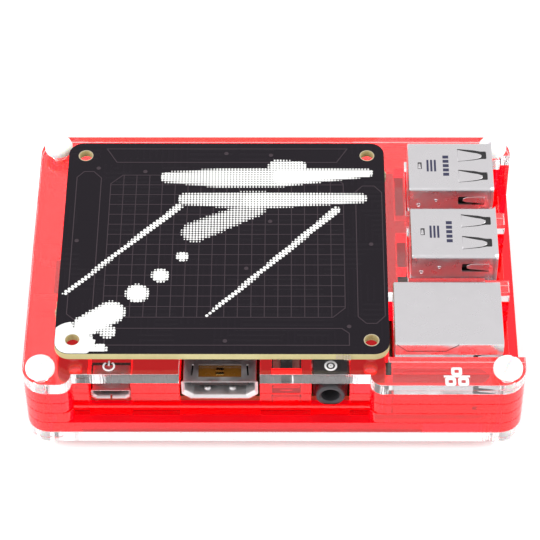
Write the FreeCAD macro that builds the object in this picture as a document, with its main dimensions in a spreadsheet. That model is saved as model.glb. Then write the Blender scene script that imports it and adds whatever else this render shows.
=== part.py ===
"""A single board computer in a slim stacked-plate case, with a square sensing board plugged on top.

Frame: +X along the case towards the network and USB sockets, +Y towards the pin header, +Z up.
The origin is the centre of the case's outline, at the level of the four nuts that it stands on.
Every size is in millimetres. A plate is drawn from the case's left front corner, and everything on
the main board from the board's left front corner, as such boards are dimensioned.
"""
import FreeCAD, Part
import os
import re
import Sketcher
from FreeCAD import Placement, Rotation, Vector

# ---------------------------------------------------------------- driving dimensions
SIZES = {
    # case: a stack of equal plates, held by four bolts
    "case_length": 97.6, "case_width": 66.0, "case_corner": 4.5, "plate_thick": 3.0,
    "nut_thick": 2.4, "nut_flats": 5.5, "bolt_inset": 3.6, "bolt_hole": 1.6, "bolt_radius": 1.5,
    "bolt_head_radius": 2.85, "bolt_head_thick": 2.0, "bolt_head_edge": 0.7, "bolt_length": 20.0,
    "bolt_slot_width": 0.8, "bolt_slot_depth": 1.0,
    # where the main board's left front corner lies in the case, and the gap round the board
    "wall_left": 6.2, "wall_front": 5.0, "board_gap": 0.3, "board_lift": 0.8,
    "rest_left": 4.0, "rest_front": 6.0, "rest_right": 72.0, "rest_back": 55.0,
    # the step in the front edge that brings plugs up to the sockets, and the cut right-hand edge
    "recess_start": 9.5, "recess_end": 67.5, "recess_upper": 2.62, "recess_lower": 1.9,
    "recess_upper_round": 2.4, "recess_lower_round": 1.7,
    "port_wall": 0.45, "trim_edge": 95.5, "trim_front": 7.05, "trim_back": 60.65,
    "lip_window": 90.7, "wall_inner": 93.6, "overcut": 1.0,
    # windows in the plates, from the board's corner
    "inner_left": 0.8, "inner_front": 13.8, "inner_right": 62.0,
    "header_window_left": 6.2, "header_window_right": 58.8,
    "header_window_front": 49.6, "header_window_back": 55.4, "side_window_left": 67.2,
    "net_window_left": 65.0, "usb_window_left": 69.3, "window_gap": 0.25, "lip_gap": 0.9,
    "flex_slot_left": 64.3, "flex_slot_right": 65.5, "flex_slot_front": -1.1, "flex_slot_back": 6.7,
    "ribbon_slot_width": 2.0, "ribbon_slot_length": 17.0, "thumb_notch": 9.0,
    # main board
    "board_length": 85.0, "board_width": 56.0, "board_thick": 1.4, "board_corner": 3.0,
    "hole_inset": 3.5, "hole_spacing_x": 58.0, "hole_spacing_y": 49.0, "hole_radius": 1.375,
    # pin header and its mate
    "pin_pitch": 2.54, "pin_columns": 20, "pin_side": 0.64, "pin_hole": 0.5,
    "pin_below": 1.4, "pin_above": 8.5,
    "header_centre_x": 32.5, "header_centre_y": 52.5, "header_base": 2.54, "socket_above": 2.9,
    "socket_side": 1.16, "leaf_thick": 0.2, "leaf_width": 0.7, "leaf_length": 6.0,
    # add-on board
    "addon_length": 65.0, "addon_width": 56.0, "addon_thick": 1.6, "addon_above": 13.1,
    "sensor_side": 5.0, "sensor_thick": 0.55,
    # USB stacks
    "usb_left": 69.7, "usb_length": 17.2, "usb_wide": 13.1, "usb_tall": 16.0, "usb_front_centre": 29.0,
    "usb_back_centre": 47.0, "usb_wall": 0.3, "usb_lip": 0.45, "usb_lip_length": 0.8,
    "usb_port_wide": 12.5, "usb_port_tall": 5.12, "usb_port_low": 1.1, "usb_port_high": 9.1,
    "usb_port_deep": 9.2, "tongue_wide": 11.1, "tongue_thick": 1.84, "tongue_drop": 0.95,
    "tongue_setback": 0.9, "usb_contact_wide": 1.0, "usb_contact_thick": 0.2, "usb_contact_pitch": 2.3,
    "usb_contact_length": 7.0,
    # network socket
    "net_left": 66.0, "net_length": 21.1, "net_wide": 15.9, "net_centre": 10.25, "net_tall": 13.5,
    "net_wall": 0.3, "net_port_wide": 11.9, "net_port_tall": 8.2, "net_port_low": 2.6,
    "net_port_deep": 13.0, "net_key_wide": 6.3, "net_key_deep": 1.5, "net_contact_pitch": 1.02,
    "net_contact_wide": 0.4, "net_contact_thick": 0.3, "net_contact_length": 8.0,
    "net_led_wide": 2.4, "net_led_tall": 1.9, "net_led_deep": 3.0,
    # video socket
    "video_centre": 32.0, "video_front": -1.5, "video_wide": 15.0, "video_low": 1.0, "video_tall": 5.4,
    "video_deep": 11.5, "video_slope": 1.7, "video_wall": 0.35, "video_port_deep": 8.6,
    "video_tongue_wide": 11.2, "video_tongue_thick": 1.0, "video_contact_wide": 0.3,
    "video_contact_thick": 0.12, "video_contact_length": 6.0, "video_contact_pitch": 0.95,
    "video_gap": 15.7,
    # power socket
    "power_centre": 10.6, "power_front": -0.9, "power_wide": 7.8, "power_low": 0.1, "power_tall": 2.8,
    "power_deep": 5.6, "power_slope": 0.7, "power_wall": 0.25, "power_port_deep": 4.8,
    "power_tongue_wide": 4.6, "power_tongue_thick": 0.6, "power_contact_wide": 0.35,
    "power_contact_thick": 0.1, "power_contact_length": 2.7, "power_contact_pitch": 0.65,
    "power_gap": 8.2,
    # sound socket
    "audio_centre": 53.6, "audio_wide": 6.9, "audio_deep": 12.5, "audio_tall": 6.0, "audio_axis": 3.0,
    "audio_barrel": 2.9, "audio_nose": 2.5, "audio_bore": 1.8, "audio_bore_length": 14.0,
    "audio_gap": 7.5, "audio_clip_thick": 0.25, "audio_clip_wide": 1.6,
    "audio_clip_first": 3.0, "audio_clip_step": 3.0,
    # camera and display ribbon connectors, each with a pull-up latch
    "camera_centre": 45.0, "display_centre": 3.7, "camera_middle": 12.1, "display_middle": 28.0,
    "ribbon_long": 22.4, "ribbon_deep": 5.2, "ribbon_tall": 4.1, "latch_tall": 1.4, "latch_long": 21.0,
    "latch_deep": 2.4, "latch_tab_drop": 1.6, "latch_tab_thick": 0.5, "ribbon_slit": 1.0,
    "ribbon_slit_long": 16.6, "ribbon_slit_deep": 3.2, "ribbon_contact_thick": 0.15,
    "ribbon_contact_wide": 0.4, "ribbon_pitch": 1.0, "ribbon_contact_tall": 2.4, "latch_clear": 0.15,
    # memory card and its slot, under the board's left end
    "slot_left": 1.5, "slot_long": 13.6, "slot_wide": 14.2, "slot_base": 0.35, "slot_skin": 0.2,
    "slot_tall": 1.5, "card_long": 15.0, "card_wide": 11.0, "card_thick": 0.7, "card_left": -2.3,
    "card_gap": 0.1, "card_lip_long": 1.2, "card_lip": 0.2, "card_contact_pitch": 1.1,
    "card_contact_wide": 0.6, "card_contact_thick": 0.05, "card_contact_long": 3.0,
    # chips
    "processor_side": 14.0, "processor_thick": 0.7, "memory_side": 12.0, "memory_thick": 0.5,
    "processor_x": 29.0, "processor_y": 33.0, "hub_side": 9.0, "hub_thick": 0.9, "hub_x": 57.0,
    "hub_y": 33.0, "crystal_long": 5.0, "crystal_wide": 3.2, "crystal_thick": 0.9,
    "choke_side": 4.0, "choke_thick": 1.9, "led_long": 1.6, "led_wide": 0.8,
    "led_thick": 0.6, "leg_radius": 0.8, "chip_long": 1.6, "chip_wide": 0.8, "chip_thick": 0.7,
    "resistor_thick": 0.4, "addon_part_step": 3.2,
}

# rows of small parts on the main board: how many, the first one's centre, and the step to the next
PART_ROWS = {
    "crystal": (2, 44.5, 29.5, 0.0, 6.0), "choke": (3, 11.0, 16.3, 5.6, 0.0),
    "lamp": (2, 1.6, 8.0, 0.0, 3.2),
    "capacitor_a": (8, 12.0, 22.0, 4.0, 0.0), "capacitor_b": (6, 20.0, 43.6, 5.2, 0.0),
    "capacitor_c": (5, 50.4, 24.0, 3.2, 0.0), "capacitor_d": (4, 64.0, 22.5, 0.0, 3.4),
    "resistor_a": (8, 14.0, 19.4, 3.6, 0.0), "resistor_b": (7, 17.0, 45.8, 5.0, 0.0),
    "resistor_c": (6, 51.0, 41.0, 2.6, 0.0), "resistor_d": (4, 64.0, 38.5, 0.0, 3.4),
}

doc = FreeCAD.newDocument("SingleBoardComputer")
sheet = doc.addObject("Spreadsheet::Sheet", "Sizes")
for row, (alias, number) in enumerate(SIZES.items(), start=1):
    sheet.set(f"A{row}", alias)
    sheet.set(f"B{row}", str(number))
    sheet.setAlias(f"B{row}", alias)
doc.recompute()

# places that many sub-parts share, as expressions of the sheet
CASE_X = "-case_length / 2"
CASE_Y = "-case_width / 2"
BOARD_X = "(wall_left - case_length / 2)"
BOARD_Y = "(wall_front - case_width / 2)"
BOARD_Z = "(nut_thick + 2 * plate_thick + board_lift)"
BOARD_TOP = f"({BOARD_Z} + board_thick)"
ADDON_Z = f"({BOARD_TOP} + addon_above - addon_thick)"
STACK_TOP = "(nut_thick + 6 * plate_thick)"


def bind(text):
    """The expression with each alias written as the sheet's."""
    return re.sub(r"[a-z][a-z_]+",
                  lambda word: f"Sizes.{word.group()}" if word.group() in SIZES else word.group(), text)


# ---------------------------------------------------------------- sketch and body helpers
def new_body(label, x="0", y="0", z="0"):
    """A body of its own, at a place given by expressions."""
    body = doc.addObject("PartDesign::Body", label)
    body.Label = label
    body.AllowCompound = True
    for axis, text in zip("xyz", (x, y, z)):
        body.setExpression(f"Placement.Base.{axis}", bind(text))
    return body


def new_sketch(body, name, plane="XY_Plane", height="0"):
    """A sketch on one of the body's own planes, lifted off it along the plane's normal."""
    sketch = body.newObject("Sketcher::SketchObject", name)
    support = [feature for feature in body.Origin.OriginFeatures if feature.Role == plane][0]
    sketch.AttachmentSupport = (support, [""])
    sketch.MapMode = "FlatFace"
    sketch.setExpression("AttachmentOffset.Base.z", bind(height))
    return sketch


def measure(sketch, kind, first, second, text):
    """A dimension from the sketch's origin, or of a radius, bound to an expression."""
    if kind == "Radius":
        index = sketch.addConstraint(Sketcher.Constraint("Radius", first, 1.0))
    else:
        index = sketch.addConstraint(Sketcher.Constraint(kind, -1, 1, first, second, 1.0))
    sketch.setExpression(f"Constraints[{index}]", bind(text))


def draw_polygon(sketch, corners):
    """A closed outline through corners given as pairs of expressions."""
    first = sketch.GeometryCount
    count = len(corners)
    spots = [Vector(i % 2 + i / count, i // 2 + 1, 0) for i in range(count)]
    for i in range(count):
        sketch.addGeometry(Part.LineSegment(spots[i], spots[(i + 1) % count]), False)
    for i in range(count):
        sketch.addConstraint(
            Sketcher.Constraint("Coincident", first + i, 2, first + (i + 1) % count, 1))
    for i, (x, y) in enumerate(corners):
        measure(sketch, "DistanceX", first + i, 1, x)
        measure(sketch, "DistanceY", first + i, 1, y)


def draw_rectangle(sketch, left, low, right, high):
    draw_polygon(sketch, [(left, low), (right, low), (right, high), (left, high)])


def draw_circle(sketch, x, y, radius):
    index = sketch.addGeometry(Part.Circle(Vector(1, 1, 0), Vector(0, 0, 1), 1.0), False)
    measure(sketch, "DistanceX", index, 3, x)
    measure(sketch, "DistanceY", index, 3, y)
    measure(sketch, "Radius", index, None, radius)


def add_pad(body, sketch, length, backwards=False):
    pad = body.newObject("PartDesign::Pad", sketch.Name + "_pad")
    pad.Profile = sketch
    pad.Reversed = backwards
    pad.setExpression("Length", bind(length))
    return pad


def add_pocket(body, sketch, depth=None, backwards=False):
    """A pocket of a stated depth, or right through; it has to take material away."""
    doc.recompute()
    before = body.Shape.Volume
    pocket = body.newObject("PartDesign::Pocket", sketch.Name + "_pocket")
    pocket.Profile = sketch
    pocket.Reversed = backwards
    if depth is None:
        pocket.Type = "ThroughAll"
        pocket.Midplane = True
    else:
        pocket.setExpression("Length", bind(depth))
    doc.recompute()
    if not body.Shape.Volume < before - 1e-6:
        raise RuntimeError(f"{sketch.Name} cuts nothing")
    return pocket


def add_row(body, feature, sketch, along, pitch, count):
    """A linear pattern of a feature along the sketch's horizontal or vertical axis."""
    pattern = body.newObject("PartDesign::LinearPattern", feature.Name + "_row")
    pattern.Originals = [feature]
    pattern.Direction = (sketch, [along])
    pattern.setExpression("Length", bind(f"({count} - 1) * {pitch}"))
    pattern.setExpression("Occurrences", bind(count))
    body.Tip = pattern
    return pattern


def upright_edges(shape, spots):
    """The names of the vertical edges that stand at the given points, in the body's own frame."""
    names = []
    for index, edge in enumerate(shape.Edges, start=1):
        ends = [vertex.Point for vertex in edge.Vertexes]
        if len(ends) == 2 and (ends[0] - ends[1]).cross(Vector(0, 0, 1)).Length < 1e-6:
            if any(abs(ends[0].x - x) < 1e-3 and abs(ends[0].y - y) < 1e-3 for x, y in spots):
                names.append(f"Edge{index}")
    return names


def round_upright(body, spots, radius):
    """Round the vertical edges at the given points with a radius from the sheet."""
    doc.recompute()
    tip = body.Tip
    names = upright_edges(tip.Shape, spots)
    if len(names) != len(spots):
        raise RuntimeError(f"{body.Label}: {len(names)} edges found for {len(spots)} corners")
    fillet = body.newObject("PartDesign::Fillet", body.Label + "_round")
    fillet.Base = (tip, names)
    fillet.setExpression("Radius", bind(radius))
    body.Tip = fillet
    return fillet


# ---------------------------------------------------------------- primitive helpers
def block(name, low, size):
    """A box from its lowest corner and its three sizes, all expressions."""
    box = doc.addObject("Part::Box", name)
    for side, text in zip(("Length", "Width", "Height"), size):
        box.setExpression(side, bind(text))
    for axis, text in zip("xyz", low):
        box.setExpression(f"Placement.Base.{axis}", bind(text))
    return box


def on_board(x, y, z):
    """A point of the main board's frame, from its left front corner at its upper face."""
    return (f"{BOARD_X} + {x}", f"{BOARD_Y} + {y}", f"{BOARD_TOP} + {z}")


def board_block(name, low, size):
    return block(name, on_board(*low), size)


def group(label, pieces):
    """Several separate solids in one sub-part."""
    compound = doc.addObject("Part::Compound", label)
    compound.Label = label
    compound.Links = pieces
    return compound


def joined(name, pieces):
    fuse = doc.addObject("Part::MultiFuse", name)
    fuse.Shapes = pieces
    fuse.Refine = True
    return fuse


def cut_away(name, base, tools):
    """The base with one tool, or with several joined tools, taken away."""
    cut = doc.addObject("Part::Cut", name)
    cut.Base = base
    cut.Tool = tools[0] if len(tools) == 1 else joined(name + "_tools", tools)
    cut.Refine = True
    return cut


NODES = []


def keep(piece):
    """Mark a finished sub-part as one of the model's nodes."""
    piece.Label = piece.Name
    NODES.append(piece)
    return piece


# ---------------------------------------------------------------- case plates
def across(text):
    """A distance along the board, from the case's left edge."""
    return f"wall_left + {text}"


def inward(text):
    """A distance from the board's front edge, from the case's front edge."""
    return f"wall_front + {text}"


def window(left, low, right, high):
    """A rectangle given from the board's corner, in the case's frame."""
    return (across(left), inward(low), across(right), inward(high))


def port_windows(usb_left, right):
    """Openings for the network socket and both USB stacks, open to the right from a given x."""
    windows = [(across("net_window_left"), inward("net_centre - net_wide / 2 - window_gap"), right,
                inward("net_centre + net_wide / 2 + window_gap"))]
    for centre in ("usb_front_centre", "usb_back_centre"):
        half = "(usb_wide / 2 + window_gap)"
        lips = "(usb_wide / 2 + lip_gap)"
        windows.append((across(usb_left), inward(f"{centre} - {half}"), right,
                        inward(f"{centre} + {half}")))
        windows.append(("lip_window", inward(f"{centre} - {lips}"), right, inward(f"{centre} + {lips}")))
    return windows


def socket_notches(names, back, front="-wall_front - overcut"):
    """Openings behind the front edge for the video, power and sound sockets."""
    return [window(f"{name}_centre - {name}_gap / 2", front, f"{name}_centre + {name}_gap / 2", back)
            for name in names]


def deep_notches():
    """The notches of the three front sockets, as deep as each socket's body."""
    return [socket_notches((name,), f"{name}_deep + overcut")[0] for name in ("power", "video", "audio")]


def ribbon_windows(names):
    """Windows that clear the ribbon connectors."""
    return [window(f"{name}_centre - ribbon_deep / 2 - board_gap",
                   f"{name}_middle - ribbon_long / 2 - board_gap",
                   f"{name}_centre + ribbon_deep / 2 + board_gap",
                   f"{name}_middle + ribbon_long / 2 + board_gap") for name in names]


PAST_EDGE = "case_length + overcut"
HEADER_WINDOW = window("header_window_left", "header_window_front", "header_window_right",
                       "header_window_back")
FLEX_SLOT = window("flex_slot_left", "flex_slot_front", "flex_slot_right", "flex_slot_back")


def plate(label, level, windows, recess=None, trimmed=False):
    """One plate of the stack: rounded outline, bolt holes, windows, stepped front and cut right edge."""
    body = new_body(label, CASE_X, CASE_Y, f"nut_thick + {level} * plate_thick")
    outline = new_sketch(body, label + "_outline")
    draw_rectangle(outline, "0", "0", "case_length", "case_width")
    add_pad(body, outline, "plate_thick")
    length, width = SIZES["case_length"], SIZES["case_width"]
    round_upright(body, [(0, 0), (length, 0), (0, width), (length, width)], "case_corner")

    holes = new_sketch(body, label + "_holes")
    for x in ("bolt_inset", "case_length - bolt_inset"):
        for y in ("bolt_inset", "case_width - bolt_inset"):
            draw_circle(holes, x, y, "bolt_hole")
    add_pocket(body, holes)

    if recess:
        step = new_sketch(body, label + "_recess")
        draw_rectangle(step, "recess_start", "-overcut", "recess_end", recess)
        add_pocket(body, step)
        ends = [(SIZES["recess_start"], 0), (SIZES["recess_end"], 0)]
        round_upright(body, ends, recess + "_round")
    if trimmed:
        trim = new_sketch(body, label + "_trim")
        draw_rectangle(trim, "trim_edge", "trim_front", PAST_EDGE, "trim_back")
        add_pocket(body, trim)
    for number, corners in enumerate(windows, start=1):
        opening = new_sketch(body, f"{label}_window_{number}")
        draw_rectangle(opening, *corners)
        add_pocket(body, opening)
    return keep(body)


def thumb_notch(body):
    """A round bite out of the left edge, where a finger reaches the memory card."""
    notch = new_sketch(body, body.Name + "_thumb")
    draw_circle(notch, "0 * case_length", inward("board_width / 2"), "thumb_notch")
    add_pocket(body, notch)


def build_case():
    base = plate("base_plate", 0, [])
    thumb_notch(base)

    # the first red plate carries the board's soldered legs and leaves room for the pins and the card
    inside = [window("rest_left", "rest_front", "rest_right", "rest_back"),
              ("-overcut", inward("board_width / 2 - thumb_notch"), across("2 * rest_left"),
               inward("board_width / 2 + thumb_notch"))]
    plate("case_layer_1", 1, inside)

    # the second surrounds the board, with a wall left in front of each socket and a gate for the card
    around = [window("-board_gap", "-board_gap", "board_length + board_gap", "board_width + board_gap")]
    around += port_windows("usb_left", "wall_inner")
    around += socket_notches(("power", "video", "audio"), "0", "recess_lower - wall_front + port_wall")
    around.append(window("-wall_left - overcut", "board_width / 2 - card_wide / 2 - window_gap", "0",
                         "board_width / 2 + card_wide / 2 + window_gap"))
    plate("case_layer_2", 2, around, "recess_lower", True)

    # the third is open over the board, as far as the bridge that holds the fingers between the ports
    above = [window("inner_left", "inner_front", "inner_right", "header_window_back"), FLEX_SLOT]
    above += port_windows("usb_window_left", PAST_EDGE) + deep_notches() + ribbon_windows(("camera",))
    above.append(window("side_window_left", "usb_front_centre - usb_wide / 2", "usb_left",
                        "usb_front_centre"))
    plate("case_layer_3", 3, above, "recess_upper", True)

    # the fourth covers the board except over its taller parts
    cover = [HEADER_WINDOW, FLEX_SLOT] + port_windows("usb_window_left", PAST_EDGE)
    cover += deep_notches() + ribbon_windows(("camera", "display"))
    for name in ("usb_front", "usb_back"):
        cover.append(window("side_window_left", f"{name}_centre - usb_wide / 2", "usb_left",
                            f"{name}_centre + usb_wide / 2"))
    plate("case_layer_4", 4, cover, "recess_upper", True)

    # the clear top has slots for the header and both ribbons, and a notch over the video socket only
    top = [HEADER_WINDOW] + port_windows("usb_window_left", PAST_EDGE)
    top += socket_notches(("video",), "video_deep")
    for name in ("camera", "display"):
        top.append(window(f"{name}_centre - ribbon_slot_width / 2",
                          f"{name}_middle - ribbon_slot_length / 2",
                          f"{name}_centre + ribbon_slot_width / 2",
                          f"{name}_middle + ribbon_slot_length / 2"))
    plate("top_plate", 5, top, "recess_upper", True)


def mirrored(name, source, normal):
    """The mirror image of a piece in a plane through the case's middle."""
    mirror = doc.addObject("Part::Mirroring", name)
    mirror.Source = source
    mirror.Normal = Vector(*normal)
    mirror.Base = Vector(0, 0, 0)
    return mirror


def four_corners(label, piece):
    """A fastener at the right back corner and its mirror images at the other three."""
    left = mirrored(f"{label}_left", piece, (1, 0, 0))
    front = mirrored(f"{label}_front", piece, (0, 1, 0))
    opposite = mirrored(f"{label}_opposite", front, (1, 0, 0))
    return keep(group(label, [piece, left, front, opposite]))


def build_fasteners():
    corner_x, corner_y = "case_length / 2 - bolt_inset", "case_width / 2 - bolt_inset"
    bolt = new_body("bolt", corner_x, corner_y, STACK_TOP)
    profile = new_sketch(bolt, "bolt_profile", "XZ_Plane")
    draw_polygon(profile, [("0", "-bolt_length"), ("bolt_radius", "-bolt_length"), ("bolt_radius", "0"),
                           ("bolt_head_radius", "0"),
                           ("bolt_head_radius", "bolt_head_thick - bolt_head_edge"),
                           ("bolt_head_radius - bolt_head_edge", "bolt_head_thick"),
                           ("0", "bolt_head_thick")])
    turned = bolt.newObject("PartDesign::Revolution", "bolt_turned")
    turned.Profile = profile
    turned.ReferenceAxis = (profile, ["V_Axis"])
    turned.Angle = 360
    slot = new_sketch(bolt, "bolt_slot", "XY_Plane", "bolt_head_thick")
    draw_rectangle(slot, "-bolt_head_radius - overcut", "-bolt_slot_width / 2",
                   "bolt_head_radius + overcut", "bolt_slot_width / 2")
    slot.AttachmentOffset = Placement(slot.AttachmentOffset.Base, Rotation(Vector(0, 0, 1), 45))
    add_pocket(bolt, slot, "bolt_slot_depth")
    four_corners("corner_bolts", bolt)

    nut = new_body("nut", corner_x, corner_y, "0")
    hexagon = new_sketch(nut, "nut_outline")
    flat = "nut_flats / 2"
    point = "nut_flats / 2 / cos(30)"
    draw_polygon(hexagon, [(point, "0"), (f"{point} / 2", flat), (f"-{point} / 2", flat),
                           (f"-{point}", "0"), (f"-{point} / 2", f"-{flat}"),
                           (f"{point} / 2", f"-{flat}")])
    add_pad(nut, hexagon, "nut_thick")
    thread = new_sketch(nut, "nut_thread")
    draw_circle(thread, "0", "0", "bolt_radius")
    add_pocket(nut, thread)
    four_corners("corner_nuts", nut)


# ---------------------------------------------------------------- boards and the pin header
def circuit_board(label, height, length, width, thick):
    """A rounded board with four mounting holes at the add-on pattern."""
    body = new_body(label, BOARD_X, BOARD_Y, height)
    outline = new_sketch(body, label + "_outline")
    draw_rectangle(outline, "0", "0", length, width)
    add_pad(body, outline, thick)
    far_x, far_y = SIZES[length], SIZES[width]
    round_upright(body, [(0, 0), (far_x, 0), (0, far_y), (far_x, far_y)], "board_corner")
    holes = new_sketch(body, label + "_holes")
    for x in ("hole_inset", "hole_inset + hole_spacing_x"):
        for y in ("hole_inset", "hole_inset + hole_spacing_y"):
            draw_circle(holes, x, y, "hole_radius")
    add_pocket(body, holes)
    return keep(body)


FIRST_PIN_X = "header_centre_x - (pin_columns - 1) * pin_pitch / 2"


def pin_body(label, height, length, offsets, wide, deep):
    """Twenty columns of small square posts, in rows at the given distances from the middle row line."""
    body = new_body(label, f"{BOARD_X} + {FIRST_PIN_X}", f"{BOARD_Y} + header_centre_y", height)
    section = new_sketch(body, label + "_section")
    for offset in offsets:
        draw_rectangle(section, f"-{wide} / 2", f"{offset} - {deep} / 2", f"{wide} / 2",
                       f"{offset} + {deep} / 2")
    post = add_pad(body, section, length)
    doc.recompute()
    add_row(body, post, section, "H_Axis", "pin_pitch", "pin_columns")
    return keep(body)


def header_strip(label, height, thick, hole):
    """A moulded strip for two rows of pins, with a square hole for each of them."""
    body = new_body(label, f"{BOARD_X} + {FIRST_PIN_X}", f"{BOARD_Y} + header_centre_y", height)
    outline = new_sketch(body, label + "_outline")
    draw_rectangle(outline, "-pin_pitch / 2", "-pin_pitch", "(pin_columns - 1 / 2) * pin_pitch",
                   "pin_pitch")
    add_pad(body, outline, thick)
    section = new_sketch(body, label + "_holes")
    for offset in ("-pin_pitch / 2", "pin_pitch / 2"):
        draw_rectangle(section, f"-{hole} / 2", f"{offset} - {hole} / 2", f"{hole} / 2",
                       f"{offset} + {hole} / 2")
    holes = add_pocket(body, section)
    add_row(body, holes, section, "H_Axis", "pin_pitch", "pin_columns")
    return keep(body)


def drill_for_pins(board):
    """Two rows of plated holes for the header's pins."""
    drilling = new_sketch(board, board.Name + "_drilling")
    for offset in ("-", "+"):
        draw_circle(drilling, FIRST_PIN_X, f"header_centre_y {offset} pin_pitch / 2", "pin_hole")
    holes = add_pocket(board, drilling)
    add_row(board, holes, drilling, "H_Axis", "pin_pitch", "pin_columns")


def build_header():
    rows = ["-pin_pitch / 2", "pin_pitch / 2"]
    header_strip("gpio_base", BOARD_TOP, "header_base", "pin_side")
    pin_body("gpio_pins", f"{BOARD_Z} - pin_below", "pin_above + board_thick + pin_below", rows,
             "pin_side", "pin_side")
    socket_tall = "(addon_above - addon_thick - socket_above)"
    header_strip("addon_header", f"{BOARD_TOP} + socket_above", socket_tall, "socket_side")
    leaf_gap = "(socket_side / 2 - leaf_thick / 2)"
    leaf_rows = [f"{sign}pin_pitch / 2 {side} {leaf_gap}" for sign in ("-", "") for side in ("-", "+")]
    pin_body("addon_header_contacts", f"{ADDON_Z} - leaf_length", "leaf_length", leaf_rows,
             "leaf_width", "leaf_thick")


def build_addon():
    circuit_board("addon_board", ADDON_Z, "addon_length", "addon_width", "addon_thick")
    under = "addon_above - addon_thick"
    keep(board_block("sensing_chip", ("addon_length / 2 - sensor_side / 2", "addon_width / 3",
                                      f"{under} - sensor_thick"),
                     ("sensor_side", "sensor_side", "sensor_thick")))
    parts = []
    for line in range(2):
        for column in range(6):
            parts.append(board_block(f"addon_part_{line + 1}_{column + 1}",
                                     (f"addon_length / 2 + ({column} - 3) * addon_part_step",
                                      f"addon_width / 2 + {line} * addon_part_step",
                                      f"{under} - resistor_thick"),
                                     ("chip_long", "chip_wide", "resistor_thick")))
    keep(group("addon_small_parts", parts))


# ---------------------------------------------------------------- sockets
def build_usb(name, centre):
    """A stack of two USB sockets: folded shell with lips, white insulator and four contacts each."""
    left, low = "usb_left", f"{centre} - usb_wide / 2"
    outer = board_block(f"{name}_outer", (left, low, "0"), ("usb_length", "usb_wide", "usb_tall"))
    lip = board_block(f"{name}_lip", ("usb_left + usb_length - usb_lip_length", f"{low} - usb_lip",
                                      "0"),
                      ("usb_lip_length", "usb_wide + 2 * usb_lip", "usb_tall + usb_lip"))
    inside = board_block(f"{name}_inside", ("usb_left + usb_wall", f"{low} + usb_wall", "0"),
                         ("usb_length - 2 * usb_wall", "usb_wide - 2 * usb_wall", "usb_tall - usb_wall"))
    mouths = []
    for port in ("usb_port_low", "usb_port_high"):
        mouths.append(board_block(f"{name}_{port}_mouth",
                                  ("usb_left + usb_length - usb_lip_length - usb_wall",
                                   f"{centre} - usb_port_wide / 2", port),
                                  ("usb_lip_length + usb_wall + overcut", "usb_port_wide",
                                   "usb_port_tall")))
    body = joined(f"{name}_blank", [outer, lip])
    keep(cut_away(f"{name}_shell", body, [inside] + mouths))

    # the insulator fills the shell behind and between the two ports, and carries a tongue in each
    filling = board_block(f"{name}_filling", ("usb_left + usb_wall", f"{low} + usb_wall", "0"),
                          ("usb_length - 2 * usb_wall - usb_lip_length", "usb_wide - 2 * usb_wall",
                           "usb_tall - usb_wall"))
    hollows, tongues, contacts = [], [], []
    for port in ("usb_port_low", "usb_port_high"):
        hollows.append(board_block(f"{name}_{port}_hollow",
                                   ("usb_left + usb_length - usb_port_deep",
                                    f"{centre} - usb_port_wide / 2", port),
                                   ("usb_port_deep + overcut", "usb_port_wide", "usb_port_tall")))
        top = f"{port} + usb_port_tall - tongue_drop"
        tongues.append(board_block(f"{name}_{port}_tongue",
                                   ("usb_left + usb_length - usb_port_deep - usb_wall",
                                    f"{centre} - tongue_wide / 2", f"{top} - tongue_thick"),
                                   ("usb_port_deep + usb_wall - tongue_setback", "tongue_wide",
                                    "tongue_thick")))
        for number in range(4):
            offset = f"({number} - 1.5) * usb_contact_pitch - usb_contact_wide / 2"
            contacts.append(board_block(f"{name}_{port}_contact_{number + 1}",
                                        ("usb_left + usb_length - usb_port_deep",
                                         f"{centre} + {offset}",
                                         f"{top} - tongue_thick - usb_contact_thick"),
                                        ("usb_contact_length", "usb_contact_wide",
                                         "usb_contact_thick")))
    carved = cut_away(f"{name}_carved", filling, hollows)
    keep(joined(f"{name}_insulator", [carved] + tongues))
    keep(group(f"{name}_contacts", contacts))


def build_network():
    """The shielded network socket, with its keyway below, two lamps and eight contacts."""
    low = "net_centre - net_wide / 2"
    front = "net_left + net_length"
    outer = board_block("net_outer", ("net_left", low, "0"), ("net_length", "net_wide", "net_tall"))
    inside = board_block("net_inside", ("net_left + net_wall", f"{low} + net_wall", "0"),
                         ("net_length", "net_wide - 2 * net_wall", "net_tall - net_wall"))
    keep(cut_away("network_shell", outer, [inside]))
    filling = board_block("net_filling", ("net_left + net_wall", f"{low} + net_wall", "0"),
                          ("net_length - 2 * net_wall", "net_wide - 2 * net_wall",
                           "net_tall - net_wall"))
    mouth = board_block("net_mouth", (f"{front} - net_port_deep", "net_centre - net_port_wide / 2",
                                      "net_port_low + net_key_deep"),
                        ("net_port_deep + overcut", "net_port_wide", "net_port_tall - net_key_deep"))
    key = board_block("net_key", (f"{front} - net_port_deep", "net_centre - net_key_wide / 2",
                                  "net_port_low"),
                      ("net_port_deep + overcut", "net_key_wide", "net_key_deep + net_wall"))
    lamps, seats = [], []
    for side, y in (("front", f"{low} + net_wall"),
                    ("back", "net_centre + net_wide / 2 - net_wall - net_led_wide")):
        place = (f"{front} - net_led_deep", y, "net_wall")
        size = ("net_led_deep - net_wall", "net_led_wide", "net_led_tall")
        lamps.append(board_block(f"net_lamp_{side}", place, size))
        seats.append(board_block(f"net_seat_{side}", place, size))
    keep(cut_away("network_insulator", filling, [mouth, key] + seats))
    keep(group("network_lamps", lamps))
    contacts = []
    for number in range(8):
        offset = f"({number} - 3.5) * net_contact_pitch - net_contact_wide / 2"
        contacts.append(board_block(f"net_contact_{number + 1}",
                                    (f"{front} - net_port_deep", f"net_centre + {offset}",
                                     "net_port_low + net_port_tall - net_contact_thick"),
                                    ("net_contact_length", "net_contact_wide", "net_contact_thick")))
    keep(group("network_contacts", contacts))


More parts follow.
